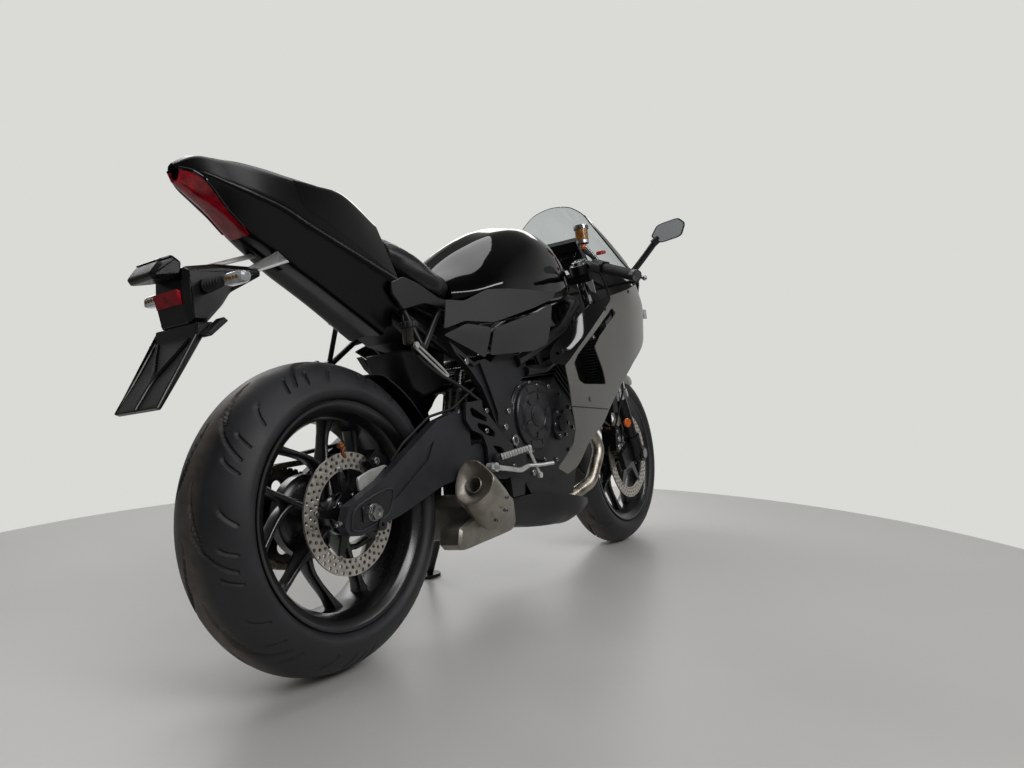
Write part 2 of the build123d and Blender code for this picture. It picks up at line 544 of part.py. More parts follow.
tail_form = closed(TAIL_FORM, True)
tail_shell = tail_form - inside(TAIL_FORM, 4.0, 1.0)
COWL_EDGE = [(-30, 1200), (-30, 1000), (-64, 940), (17, 900), (88, 862), (145, 826), (220, 790), (220, 1200)]
LENS = [(-269, 975), (-250, 969), (-216, 941), (-179, 907), (-140, 873), (-136, 840), (-300, 880), (-300, 950),
        (-269, 950)]
cowl_zone = prism(COWL_EDGE, -200, 200)
lens_zone = prism(LENS, -200, 200)
NODES["seat_cowl"] = tail_shell & cowl_zone
NODES["tail_light"] = tail_form & lens_zone
NODES["tail_body"] = tail_shell - cowl_zone - lens_zone

# side covers below the tank, and the lower ones under them
COVER = [
    (280, [(122, 775), (134, 745), (140, 700), (138, 640)]),
    (400, [(136, 800), (146, 752), (156, 690), (152, 610)]),
    (560, [(156, 840), (162, 790), (172, 710), (172, 600)]),
    (720, [(164, 850), (172, 800), (182, 720), (184, 600)]),
    (840, [(164, 850), (174, 800), (186, 720), (188, 600)]),
]
cover_skin = skin(COVER, PANEL_WALL)
UPPER_COVER = [(322, 762), (386, 762), (476, 796), (563, 804), (776, 812), (800, 812), (770, 790), (659, 757),
               (475, 711), (372, 712), (293, 690)]
LOWER_COVER = [(292, 676), (374, 705), (462, 698), (430, 622), (360, 650)]
MID_COVER = [(472, 696), (677, 748), (760, 776), (700, 660), (630, 640), (447, 628)]
covers = cover_skin & prism(UPPER_COVER, 60, 260)
covers = covers + (cover_skin & prism(LOWER_COVER, 60, 260)) + (cover_skin & prism(MID_COVER, 60, 260))
for x, z, y0 in ((650, 785, 130), (430, 758, 100), (700, 668, 140), (402, 645, 92)):
    covers = covers + y_disc(x, z, 7, y0, skin_y(COVER, x, z))
NODES["tank_covers"] = both(covers) - tank - NODES["main_frame"] - NODES["subframe"]

# ------------------------------------------------------------ fairing
FAIR = [
    (690, [(146, 700), (172, 640), (190, 540), (192, 440), (178, 340), (140, 250)]),
    (780, [(160, 720), (188, 640), (202, 540), (204, 430), (188, 330), (140, 235)]),
    (900, [(185, 790), (208, 680), (214, 560), (210, 430), (190, 320), (140, 210)]),
    (1050, [(206, 850), (228, 740), (224, 600), (212, 450), (190, 330), (140, 220)]),
    (1200, [(215, 890), (235, 790), (226, 660), (206, 510), (180, 380), (140, 290)]),
    (1330, [(192, 905), (212, 806), (202, 690), (186, 570), (165, 460), (140, 380)]),
    (1450, [(146, 890), (165, 800), (154, 720), (140, 640), (120, 590), (100, 560)]),
]
fair_skin = skin(FAIR, PANEL_WALL)
SIDE_EDGE = [(1071, 815), (1200, 846), (1330, 880), (1398, 876), (1398, 716), (1300, 664), (1179, 607), (1076, 542),
             (977, 467), (934, 427), (841, 374), (789, 314), (754, 300), (700, 322), (762, 381), (770, 418),
             (764, 488), (767, 570), (769, 599), (800, 618), (1063, 800)]
WINDOW = [(836, 630), (1058, 776), (1072, 758), (966, 688), (925, 651), (953, 583), (965, 540), (840, 544),
          (817, 556), (812, 606)]
side_panel = fair_skin & (prism(SIDE_EDGE, 60, 300) - prism(WINDOW, 50, 310))
INTAKE_EDGE = [(1069.6, 815.4), (960, 788), (722, 643), (704, 610), (768.2, 599.4), (799.6, 618.6), (1062.4, 800.6)]
for x, z, y0 in ((862, 500, CASE_HALF - 2), (1088, 640, 180)):
    side_panel = side_panel + y_disc(x, z, 8, y0, skin_y(FAIR, x, z))
side_panel = side_panel - NODES["engine_block"] - NODES["left_engine_covers"] - NODES["radiator"]
NODES["side_fairing_left"] = side_panel
NODES["side_fairing_right"] = mirror(side_panel, about=Plane.XZ) - NODES["clutch_cover"]
NODES["intake_panels"] = both(fair_skin & prism(INTAKE_EDGE, 60, 300))


def arch(half):
    """Right foot to left foot over the top, from top-to-foot left points."""
    return [(-y, z) for y, z in half[::-1]] + half[1:]


NOSE = [
    (1300, arch([(0, 1000), (110, 980), (194, 900), (216, 806), (203, 700)])),
    (1400, arch([(0, 975), (88, 955), (160, 886), (185, 800), (170, 706)])),
    (1500, arch([(0, 940), (68, 920), (112, 866), (132, 795), (118, 722)])),
    (1590, arch([(0, 896), (48, 882), (72, 838), (80, 785), (66, 740)])),
    (1650, arch([(0, 835), (25, 828), (38, 800), (40, 778), (30, 760)])),
]
nose = skin(NOSE, PANEL_WALL)
NOSE_X = 1398.0 + BODY_GAP
nose = nose & prism([(NOSE_X, 1100), (1700, 1100), (1700, 700), (NOSE_X, 700)], -300, 300)
nose = nose - prism([(1560, 745), (1680, 745), (1680, 815), (1560, 815)], -46, 46)
NODES["nose_fairing"] = nose
HEAD_LAMP = (1598.0, 782.0)
lamp = Pos(HEAD_LAMP[0], 0, HEAD_LAMP[1]) * Rot(Y=90) * Cylinder(30, 44)
lamp = lamp + Pos(HEAD_LAMP[0] + 22, 0, HEAD_LAMP[1]) * Rot(Y=90) * Cone(30, 22, 8)
lamp = lamp + prism([(1400, 770), (1580, 770), (1580, 794), (1400, 794)], -20, 20)
lamp = lamp + prism([(1404, 766), (1424, 766), (1424, 798), (1404, 798)], -187, 187)
NODES["headlight"] = lamp - nose

SCREEN = [
    (1150, arch([(0, 1160), (70, 1148), (118, 1112), (140, 1076)])),
    (1250, arch([(0, 1112), (92, 1090), (158, 1022), (190, 950)])),
    (1350, arch([(0, 1040), (98, 1016), (170, 946), (200, 896)])),
    (1440, arch([(0, 972), (76, 950), (140, 892), (160, 864)])),
]
screen = skin(SCREEN, 3.0)
NODES["windscreen"] = screen - nose

# ------------------------------------------------------------ belly
def tray(x, side_y, top_z, low_z, flat_y):
    """U section, run so that the wall grows inward."""
    half = [(0, low_z), (flat_y, low_z), (side_y, low_z + 28), (side_y, top_z)]
    return (x, [(y, z) for y, z in half[::-1]] + [(-y, z) for y, z in half[1:]])


BELLY = [tray(506, 118, 266, 208, 84), tray(640, 130, 264, 178, 100), tray(760, 146, 246, 164, 108),
         tray(850, 150, 226, 158, 96), tray(905, 140, 214, 170, 80)]
belly = skin(BELLY, PANEL_WALL) - Pos(560, 130, 270) * Box(300, 90, 140)
for y0, y1 in ((78, 146), (-146, -78)):
    belly = belly + y_disc(780, 230, 7, y0, y1)
NODES["belly_pan"] = belly - NODES["exhaust_headers"] - NODES["engine_block"]

# ------------------------------------------------------------ tail fittings
holder = prism([(-138, 806), (-132, 790), (-205, 752), (-224, 728), (-262, 692), (-296, 690), (-304, 735),
                (-300, 790), (-232, 802)], -48, 48)
blade = prism([(-262, 692), (-290, 658), (-328, 606), (-376, 542), (-386, 547), (-336, 612), (-301, 664),
               (-296, 690)], -62, 62)
ears = prism([(-251, 690), (-288, 662), (-294, 667), (-258, 697)], 62, 86)
lamp_box = prism([(-313, 808), (-339, 798), (-360, 772), (-352, 762), (-300, 772), (-296, 800)], -38, 38)
strap_left = prism([(-240, 798), (-50, 856), (-50, 861), (-66, 861), (-244, 803)], 20, 32)
strap_right = prism([(-206, 776), (-137, 798), (-40, 832), (-40, 868), (-46, 868), (-46, 836), (-137, 803), (-209, 781)],
                    -40, -28)
straps = (strap_left + strap_right) - NODES["subframe"]
NODES["tail_body"] = NODES["tail_body"] - straps
NODES["plate_holder"] = (holder + blade + both(ears) + lamp_box + straps) - NODES["subframe"]
NODES["rear_reflector"] = prism([(-304, 748), (-298, 726), (-306, 724), (-312, 750)], -34, 34) - NODES["plate_holder"]

ind = None
for side in (-1, 1):
    stem = bar((-262, side * 48, 757), (-258, side * 92, 760), 8)
    pod = Pos(-256, side * 118, 763) * Rot(Y=12) * extrude(SlotOverall(62, 26), 24, both=False)
    pod = Pos(-250, side * 92, 760) * Rot(X=-side * 90) * extrude(Rot(Z=0) * SlotOverall(24, 22), 52)
    ind = stem + pod if ind is None else ind + stem + pod
NODES["rear_indicators"] = ind - NODES["plate_holder"]

# ------------------------------------------------------------ rear brake, stays, pedals
REAR_CAL = (86.0, 398.0)
cal_r = prism([(40, 414), (66, 436), (116, 402), (118, 366), (92, 360), (60, 392)], -104, -60)
cal_r = cal_r - y_disc(0, REAR_R, REAR_DISC_R + 5, -REAR_DISC_Y - 7, -REAR_DISC_Y + 7)
hanger = prism([(-22, 300), (14, 294), (22, 326), (92, 372), (84, 398), (-12, 338)], -112, -104) - y_disc(
    0, REAR_R, 15.3, -200, 0)
NODES["rear_caliper"] = cal_r + hanger + bar((96, -112, 384), (96, -ARM_IN, 384), 7)
NODES["rear_brake_hose"] = rod([(116, -88, 396), (150, -106, 440), (240, -112, 492), (330, -113, 506),
                                (430, -124, 560)], [24, 60, 60], 3.2) - NODES["rear_caliper"] - swingarm
SHOCK_TOP = (534.0, 610.0)
SHOCK_LOW = (474.0, 404.0)
shock = bar((SHOCK_LOW[0], 0, SHOCK_LOW[1]), (SHOCK_TOP[0], 0, SHOCK_TOP[1]), 14)
shock = shock + bar((482, 0, 430), (518, 0, 555), 33) + y_disc(*SHOCK_LOW, 13, -22, 22)
shock = shock + y_disc(*SHOCK_TOP, 9, -PLATE_IN, PLATE_IN)
NODES["shock"] = shock - swingarm
FLAP_R = REAR_R + 9.0
flap = revolve(Plane.XY * Pos(0, 0) * make_face(Polyline(
    (FLAP_R - 4, -64), (FLAP_R + 4, 0), (FLAP_R - 4, 64), (FLAP_R - 36, 94), (FLAP_R - 38, 92), (FLAP_R - 7, 62),
    (FLAP_R + 1, 0), (FLAP_R - 7, -62), (FLAP_R - 38, -92), (FLAP_R - 36, -94), close=True)), Axis.Y, 58)
guard = prism([(60, 470), (210, 484), (330, 508), (330, 502), (210, 476), (60, 462)], 92, 117)
guard = guard + prism([(206, 478), (250, 484), (250, 508), (206, 500)], 88, ARM_IN)
NODES["rear_hugger"] = at_rear * Rot(Y=-78) * flap + guard - swingarm

# rider and passenger rests: brackets on the pivot plates and the subframe
rest = prism([(333, 516), (400, 521), (398, 503), (423, 483), (452, 455), (478, 424), (516, 404), (520, 372),
              (520, 330), (470, 322), (420, 330), (400, 344), (402, 404), (388, 437), (346, 452), (326, 477)],
             PLATE_OUT, PLATE_OUT + 8)
for hole in ([(350, 494), (405, 473), (408, 464), (354, 480)], [(386, 462), (414, 461), (441, 442), (436, 430), (404, 436)],
             [(424, 412), (462, 404), (486, 378), (440, 392)]):
    rest = rest - prism(hole, PLATE_OUT - 1, PLATE_OUT + 9)
rest = rest - y_disc(*PIVOT, 18, 0, 300)
PEG = (432.0, 372.0)
peg = bar((PEG[0], PLATE_OUT + 8, PEG[1]), (PEG[0] + 28, 236, PEG[1] + 18), 11)
peg = peg + y_disc(*PEG, 15, PLATE_OUT + 8, PLATE_OUT + 16)
brake_arm = rod([(412, -162, 348), (520, -162, 326), (552, -166, 344)], [14], 6)
brake_arm = brake_arm + y_disc(412, 348, 12, -170, -PLATE_OUT - 8) + bar((552, -166, 344), (578, -208, 343), 6.5)
shift_arm = rod([(508, 160, 336), (560, 162, 324), (604, 168, 318)], [20], 6)
shift_arm = shift_arm + y_disc(508, 336, 12, PLATE_OUT + 8, 168) + bar((602, 166, 318), (602, 212, 318), 9)
NODES["foot_levers"] = brake_arm + shift_arm

pillion = None
for side in (-1, 1):
    stay = bar((330, side * 104, 740), (206, side * 148, 640), 7) + bar((200, side * 84, 778), (206, side * 148, 640), 6)
    stay = stay + bar((206, side * 138, 640), (206, side * 164, 638), 12)
    stay = stay + bar((206, side * 160, 638), (180, side * 172, 590), 10)
    pillion = stay if pillion is None else pillion + stay
NODES["foot_rests"] = (pillion - subframe - NODES["tail_body"]) + both(rest + peg)

# ------------------------------------------------------------ steering
steer = STEER.location
CLAMP_LOW, CLAMP_TOP = (812.0, 842.0), (958.0, 984.0)
TUBE_R, SLIDER_R = 27.0, 20.5
TUBE_FOOT, TUBE_TOP = 545.0, 1018.0
stem = Pos(0, 0, CLAMP_LOW[0]) * Cylinder(STEM_R, CLAMP_TOP[1] + 8 - CLAMP_LOW[0],
                                          align=(Align.CENTER, Align.CENTER, Align.MIN))
yokes = stem
for low, high, half in ((*CLAMP_LOW, 44), (*CLAMP_TOP, 34)):
    face = make_face(Polyline((-30, -26), (-30, 26), (-4, 70), (4, FORK_HALF_TRACK + 34), (62, FORK_HALF_TRACK + 34),
                              (66, 70), (40, 30), (40, -30), (66, -70), (62, -FORK_HALF_TRACK - 34),
                              (4, -FORK_HALF_TRACK - 34), (-4, -70), close=True))
    yokes = yokes + Pos(0, 0, low) * extrude(face, high - low)
yokes = yokes + Pos(0, 0, CLAMP_TOP[1]) * Cylinder(22, 10, align=(Align.CENTER, Align.CENTER, Align.MIN))
for side in (-1, 1):
    yokes = yokes - Pos(FORK_OFFSET, side * FORK_HALF_TRACK, 700) * Cylinder(TUBE_R, 700)
STEM_BORE_R = 9.0
yokes = yokes - Cylinder(STEM_BORE_R, 4000)
NODES["fork_clamps"] = steer * yokes


def on_fork(s, side):
    """Place of a fork leg's axis at height s up the steering axis."""
    return Pos(FORK_OFFSET, side * FORK_HALF_TRACK, s)


def leg(r, low, high, side):
    """Cylinder on one fork leg."""
    return on_fork(low, side) * Cylinder(r, high - low, align=(Align.CENTER, Align.CENTER, Align.MIN))


tubes = leg(TUBE_R, TUBE_FOOT, TUBE_TOP, 1)
tubes = tubes + leg(TUBE_R + 3, TUBE_FOOT - 12, TUBE_FOOT + 16, 1) + leg(22, TUBE_TOP, TUBE_TOP + 6, 1)
NODES["fork_tubes"] = steer * both(tubes - leg(SLIDER_R + 0.05, TUBE_FOOT - 20, TUBE_TOP - 60, 1))
LUG_TOP = AXLE_S + 74
sliders = leg(SLIDER_R, LUG_TOP - 10, TUBE_TOP - 70, 1)
lug = leg(27, AXLE_S - 10, LUG_TOP, 1) + Pos(AXLE_F, 0, AXLE_S) * bar((0, 82, 0), (0, 128, 0), 27)
lug = lug + Pos(AXLE_F - 62, 95, AXLE_S + 32) * Box(104, 18, 60) 
lug = lug - Pos(AXLE_F, 0, AXLE_S) * bar((0, 60, 0), (0, 140, 0), FRONT_AXLE_R + 0.3)
NODES["fork_sliders"] = steer * both(lug + sliders)
axle = bar((WHEELBASE, -134, FRONT_R), (WHEELBASE, 134, FRONT_R), FRONT_AXLE_R)
for side in (-1, 1):
    axle = axle + y_disc(WHEELBASE, FRONT_R, 17, *sorted((side * 56, side * 82)))
    axle = axle + y_disc(WHEELBASE, FRONT_R, 17, *sorted((side * 128, side * 134)))
NODES["front_axle"] = axle - NODES["fork_sliders"]

# calipers behind the fork legs, over the discs
cal = prism([(-150, 24), (-142, 92), (-120, 108), (-96, 84), (-104, 26), (-122, 8)], 44, 96)
cal = Pos(WHEELBASE, 0, FRONT_R) * (cal - y_disc(0, 0, FRONT_DISC_R + 5, FRONT_DISC_Y - 7, FRONT_DISC_Y + 7))
NODES["front_calipers"] = both(cal) - NODES["fork_sliders"]

FENDER_R = 312.0
FENDER_ARC = 88.0
mud = revolve(make_face(Polyline(
    (FENDER_R + 2, 0), (FENDER_R - 4, 36), (FENDER_R - 26, 66), (FENDER_R - 62, 76), (FENDER_R - 62, 79),
    (FENDER_R - 24, 69), (FENDER_R - 1, 38), (FENDER_R + 5, 0), close=True)), Axis.Y, FENDER_ARC)
mud = mud + mirror(mud, about=Plane.XZ)
mud = at_front * Rot(Y=-152) * mud
mud = mud + both(prism([(1240, 470), (1262, 560), (1330, 560), (1330, 470)], 77, 83) + prism(
    [(1262, 510), (1262, 560), (1330, 560), (1330, 510)], 74, 80))
NODES["front_fender"] = mud - NODES["fork_tubes"] - NODES["fork_sliders"]

BAR_IN, BAR_OUT = Vector(1108, 132, 936), Vector(1010, 330, 850)
BAR_DIR = (BAR_OUT - BAR_IN).normalized()
BAR_R = 11.0
clip = leg(TUBE_R + 8, CLAMP_TOP[1] + 1, TUBE_TOP - 4, 1) - leg(TUBE_R, 900, 1100, 1)
bar_left = bar(tuple(BAR_IN), tuple(BAR_OUT), BAR_R) - steer * leg(TUBE_R, 900, 1100, 1)
NODES["handlebars"] = both(steer * clip + bar_left)


def along(d, y_sign=1):
    """Point d along the left bar from its inner end."""
    p = BAR_IN + BAR_DIR * d
    return (p.X, p.Y * y_sign, p.Z)


bar_len = (BAR_OUT - BAR_IN).length
GRIP_R = 16.5
grip = bar(along(bar_len - 140), along(bar_len - 14), GRIP_R) + bar(along(bar_len - 12), along(bar_len + 8), 18)
switch = bar(along(bar_len - 196), along(bar_len - 146), 21) + bar(along(34), along(58), 17)
grip = grip + switch - bar(tuple(BAR_IN), tuple(BAR_OUT), BAR_R)
NODES["grips"] = both(grip)
lever = rod([(1128, 158, 944), (1150, 190, 924), (1092, 326, 852)], [16], 5.5)
lever = lever + Pos(1092, 326, 852) * Sphere(8) + bar((1122, 146, 936), (1128, 158, 944), 13)
lever = lever + bar(along(52), (1124, 150, 938), 9) - bar(tuple(BAR_IN), tuple(BAR_OUT), BAR_R) - grip
NODES["levers"] = both(lever)
RES = (1084.0, 136.0, 998.0)
res = Pos(*RES) * Cylinder(20, 46, align=(Align.CENTER, Align.CENTER, Align.MIN))
res = res + Pos(RES[0], RES[1], RES[2] + 46) * Cylinder(23, 12, align=(Align.CENTER, Align.CENTER, Align.MIN))
res = res + bar((1084, 136, 994), (1130, 158, 944), 8)
NODES["levers"] = NODES["levers"] + mirror(res, about=Plane.XZ) - NODES["handlebars"] - NODES["grips"]

hose = rod([(1134, 156, 928), (1176, 160, 860), (1222, 154, 700), (1248, 142, 520), (1262, 92, 400)],
           [60, 120, 60], 3.5)
NODES["front_brake_hoses"] = both(hose) - NODES["front_calipers"] - NODES["levers"]

# ------------------------------------------------------------ cockpit, mirrors
dash = Pos(1200, 0, 1000) * Rot(Y=-40) * Box(26, 150, 100)
NODES["instruments"] = dash + bar((1210, 0, 990), (1300, 0, 930), 14) + prism(
    [(1290, 920), (1306, 912), (1410, 900), (1410, 912), (1306, 926)], -40, 40)
NODES["instruments"] = NODES["instruments"] + bar((1404, -180, 902), (1404, 180, 902), 7) - nose - screen
mirrors = None
for side in (-1, 1):
    stalk = rod([(1312, side * 196, 914), (1322, side * 240, 960), (1318, side * 300, 1008)], [40], 8)
    shell = Pos(1308, side * 340, 1028) * Rot(Y=90) * extrude(Rot(Z=90) * SlotOverall(122, 78), 30)
    shell = shell + bar((1306, side * 192, 908), (1314, side * 202, 922), 14)
    mirrors = stalk + shell if mirrors is None else mirrors + stalk + shell
NODES["mirrors"] = mirrors - screen - nose - fair_skin - mirror(fair_skin, about=Plane.XZ)

# ------------------------------------------------------------ side stand
STAND_PIVOT = Vector(590, 141, 235)
STAND_FOOT = Vector(655, 272, 0)
LEAN_TAN = math.tan(math.radians(LEAN_DEG))
FOOT_T = 8.0
foot_z = STAND_FOOT.Y * LEAN_TAN
foot = Vector(STAND_FOOT.X, STAND_FOOT.Y, foot_z + FOOT_T + 2)
stand = bar(tuple(STAND_PIVOT), tuple(foot), 11, 10)
sole = Pos(STAND_FOOT.X, STAND_FOOT.Y, foot_z) * Rot(X=LEAN_DEG) * Pos(0, 0, FOOT_T / 2) * extrude(
    SlotOverall(74, 42), FOOT_T / 2, both=True)
STAND_DOWN = (foot - STAND_PIVOT).normalized()
STAND_UP = Vector(-0.985, 0.15, 0.085).normalized()
STAND_AXIS = STAND_DOWN.cross(STAND_UP).normalized()
hinge = bar(tuple(STAND_PIVOT - STAND_AXIS * 12), tuple(STAND_PIVOT + STAND_AXIS * 12), 19)
stand = stand + hinge + sole
STAND_BOLT_R = 7.0
stand = stand - bar(tuple(STAND_PIVOT - STAND_AXIS * 30), tuple(STAND_PIVOT + STAND_AXIS * 30), STAND_BOLT_R + 0.06)
NODES["side_stand"] = stand
lug = bar(tuple(STAND_PIVOT - STAND_AXIS * 26), tuple(STAND_PIVOT - STAND_AXIS * 12.6), 20)
lug = lug + bar(tuple(STAND_PIVOT - STAND_AXIS * 14), tuple(STAND_PIVOT + STAND_AXIS * 14), STAND_BOLT_R)
lug = lug + bar(tuple(STAND_PIVOT + STAND_AXIS * 13), tuple(STAND_PIVOT + STAND_AXIS * 18), 11)
lug = lug + prism([(560, 272), (580, 222), (600, 226), (606, 300), (606, 322), (560, 320)], PLATE_IN - 22, PLATE_IN - 10)
NODES["pivot_plates"] = NODES["pivot_plates"] + pivot_shaft + (lug - NODES["engine_block"])

# ------------------------------------------------------------ place and write
lean = Rot(X=-LEAN_DEG)
box = None
for shape in NODES.values():
    b = (lean * shape).bounding_box()
    box = b if box is None else box.add(b)
ORIGIN = Vector((box.min.X + box.max.X) / 2, (box.min.Y + box.max.Y) / 2, box.min.Z)
PLACE = Pos(-ORIGIN.X, -ORIGIN.Y, -ORIGIN.Z) * lean
for name, shape in NODES.items():
    export_step(PLACE * shape, os.path.join("parts", name + ".step"))
print("origin", round(ORIGIN.X, 4), round(ORIGIN.Y, 4), round(ORIGIN.Z, 4))
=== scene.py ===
import json
import math

import bmesh
import bpy
import numpy as np
from mathutils import Matrix, Vector


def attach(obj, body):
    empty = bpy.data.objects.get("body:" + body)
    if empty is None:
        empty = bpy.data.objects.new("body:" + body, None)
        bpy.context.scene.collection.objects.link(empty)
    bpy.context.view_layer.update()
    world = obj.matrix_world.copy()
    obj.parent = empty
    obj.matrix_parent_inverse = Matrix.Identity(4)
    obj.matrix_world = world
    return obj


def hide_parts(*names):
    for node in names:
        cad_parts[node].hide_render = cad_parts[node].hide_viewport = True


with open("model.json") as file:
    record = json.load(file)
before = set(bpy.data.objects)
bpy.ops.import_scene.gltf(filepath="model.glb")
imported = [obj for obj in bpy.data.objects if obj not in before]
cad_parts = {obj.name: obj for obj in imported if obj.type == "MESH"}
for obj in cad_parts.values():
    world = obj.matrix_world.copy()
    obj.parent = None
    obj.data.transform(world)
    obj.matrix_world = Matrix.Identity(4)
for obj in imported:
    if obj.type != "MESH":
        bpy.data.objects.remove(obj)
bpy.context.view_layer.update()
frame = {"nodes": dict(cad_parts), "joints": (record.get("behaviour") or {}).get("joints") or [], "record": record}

bl_info = {
    "name": "Sport bike dressing",
    "version": (1, 0, 0),
    "blender": (4, 5, 0),
    "location": "View3D > Sidebar > Sport Bike",
    "description": "Finishes and detail pieces for a faired sport bike on its side stand",
    "category": "Object",
}

# ------------------------------------------------------------ the bike's own frame
# Pieces are worked out upright in millimetres: X forward, Y left, Z up, the
# rear axle at (0, 0, 315). place() leans them and moves them to the row frame.
LEAN = math.radians(7.44)
REAR_R, FRONT_R, WHEELBASE = 315.0, 300.0, 1395.0
RAKE = math.radians(23.67)
SR, CR = math.sin(RAKE), math.cos(RAKE)
JOINT = {j["name"]: j for j in frame["joints"]}


def lean(p):
    """Turns points by the lean about the X axis."""
    p = np.asarray(p, float)
    y, z = p[..., 1], p[..., 2]
    return np.stack([p[..., 0], y * math.cos(LEAN) + z * math.sin(LEAN),
                     z * math.cos(LEAN) - y * math.sin(LEAN)], -1)


ORIGIN = lean((0.0, 0.0, REAR_R)) - 1000.0 * np.array(JOINT["rear_wheel_spin"]["pos_m"])


def place(p):
    """Bike millimetres to row metres: lean, then take off the origin."""
    return (lean(p) - ORIGIN) / 1000.0


def xyz(x, y, z):
    """Points from three arrays or numbers that broadcast together."""
    return np.stack(np.broadcast_arrays(x, y, z), -1).astype(float)


def steer(f, y, s):
    """A point f ahead of the steering axis, y to the left and s up the axis."""
    return xyz(1485.0 + f * CR - s * SR, y, f * SR + s * CR)


# ------------------------------------------------------------ surfaces
def grid(p, close_u=False, close_v=False, caps=False):
    """Quads over an array of points p[u, v], joined round in u or v, with end caps in u."""
    nu, nv = p.shape[:2]
    i = np.arange(nu * nv).reshape(nu, nv)
    k = np.vstack([i, i[:1]]) if close_u else i
    k = np.hstack([k, k[:, :1]]) if close_v else k
    faces = [np.stack([k[:-1, :-1], k[1:, :-1], k[1:, 1:], k[:-1, 1:]], -1).reshape(-1, 4)]
    if caps:
        faces += [i[:1, :], i[-1:, ::-1]]
    return p.reshape(-1, 3), faces


def join(parts):
    """Several (points, faces) as one."""
    base, points, faces = 0, [], []
    for v, f in parts:
        points.append(np.asarray(v, float).reshape(-1, 3))
        faces += [np.asarray(a) + base for a in f]
        base += len(points[-1])
    return np.vstack(points), faces


def mirrored(part):
    """The part and its mirror image in Y."""
    v, f = part
    return join([(v, f), (v * (1, -1, 1), [np.asarray(a)[:, ::-1] for a in f])])


def rounded(pts, soft=0.3, n=5, m=2, loop=False):
    """Line with its corners cut by parabolas that start soft of the way along each side."""
    p = np.asarray(pts, float)
    if loop:
        mid = (p[..., :1, :] + p[..., -1:, :]) / 2
        p = np.concatenate([mid, p, mid], -2)
    t = np.linspace(0, 1, n)[:, None]
    run = np.linspace(0, 1, m + 2)[1:-1, None]
    out, last = [p[..., :1, :]], p[..., :1, :]
    for i in range(1, p.shape[-2] - 1):
        c = p[..., i:i + 1, :]
        a = c + soft * (p[..., i - 1:i, :] - c)
        b = c + soft * (p[..., i + 1:i + 2, :] - c)
        out += [last + (a - last) * run, (1 - t) ** 2 * a + 2 * t * (1 - t) * c + t ** 2 * b]
        last = b
    out.append(last + (p[..., -1:, :] - last) * run)
    if not loop:
        out.append(p[..., -1:, :])
        return np.concatenate(out, -2)
    return np.concatenate(out[1:], -2) if m else np.concatenate(out, -2)


def through(x, rows, at):
    """Cubic Hermite curve through rows at x, slopes from central differences."""
    x, rows, at = np.asarray(x, float), np.asarray(rows, float), np.asarray(at, float)
    slope = np.gradient(rows, x, axis=0)
    k = np.clip(np.searchsorted(x, at) - 1, 0, len(x) - 2)
    h = x[k + 1] - x[k]
    shape = (-1,) + (1,) * (rows.ndim - 1)
    t, h = ((at - x[k]) / h).reshape(shape), h.reshape(shape)
    return ((1 + 2 * t) * (1 - t) ** 2 * rows[k] + t * (1 - t) ** 2 * h * slope[k]
            + t ** 2 * (3 - 2 * t) * rows[k + 1] + t ** 2 * (t - 1) * h * slope[k + 1])


def lofted(table, nx, soft, n=4, m=2, closed=False, x0=None, x1=None):
    """Skin through (x, [(y, z), ...]) rows: corners rounded in each row, a cubic along x."""
    x = np.array([r[0] for r in table], float)
    rows = np.array([r[1] for r in table], float)
    if closed:
        rows = np.concatenate([rows, rows[:, -2:0:-1] * (-1, 1)], 1)
    rows = rounded(rows, soft, n, m, loop=closed)
    at = np.linspace(x[0] if x0 is None else x0, x[-1] if x1 is None else x1, nx)
    yz = through(x, rows, at)
    return np.concatenate([np.broadcast_to(at[:, None, None], yz.shape[:2] + (1,)), yz], -1)


def arch(half):
    """Right foot to left foot over the top, from top-to-foot left points."""
    return [(-y, z) for y, z in half[::-1]] + half[1:]


def normals(v, quads):
    """Unit normal at each point: the sum of its faces' diagonal cross products."""
    n = np.zeros_like(v)
    c = np.cross(v[quads[:, 2]] - v[quads[:, 0]], v[quads[:, 3]] - v[quads[:, 1]])
    for k in range(4):
        np.add.at(n, quads[:, k], c)
    return n / np.maximum(np.linalg.norm(n, axis=1, keepdims=True), 1e-9)


def shell(part, wall):
    """Sheet to closed wall: a second layer wall inside along the normals, and a rim on open edges."""
    v, faces = part
    q = faces[0]
    inner = v - wall * normals(v, q)
    a, b = q.reshape(-1), np.roll(q, -1, axis=1).reshape(-1)
    size = len(v)
    lone = ~np.isin(a * size + b, b * size + a)
    a, b = a[lone], b[lone]
    return np.vstack([v, inner]), [q, q[:, ::-1] + size, np.stack([b, a, a + size, b + size], -1)]


def inside(p, loop):
    """Even-odd rule: a point is inside when a ray along +x crosses the outline an odd number of times."""
    x, z = p[..., 0], p[..., 1]
    odd = np.zeros(x.shape, bool)
    for (xa, za), (xb, zb) in zip(loop, np.roll(loop, -1, axis=0)):
        if za != zb:
            odd ^= ((za > z) != (zb > z)) & (x < (xb - xa) * (z - za) / (zb - za) + xa)
    return odd


def nearest(p, loops):
    """Nearest point to each p on the sides of the outlines."""
    a = np.vstack(loops)
    d = np.vstack([np.roll(o, -1, axis=0) - o for o in loops])
    t = np.clip(((p[:, None] - a) * d).sum(-1) / np.maximum((d * d).sum(-1), 1e-9), 0, 1)
    q = a + t[..., None] * d
    k = ((q - p[:, None]) ** 2).sum(-1).argmin(1)
    return q[np.arange(len(p)), k]


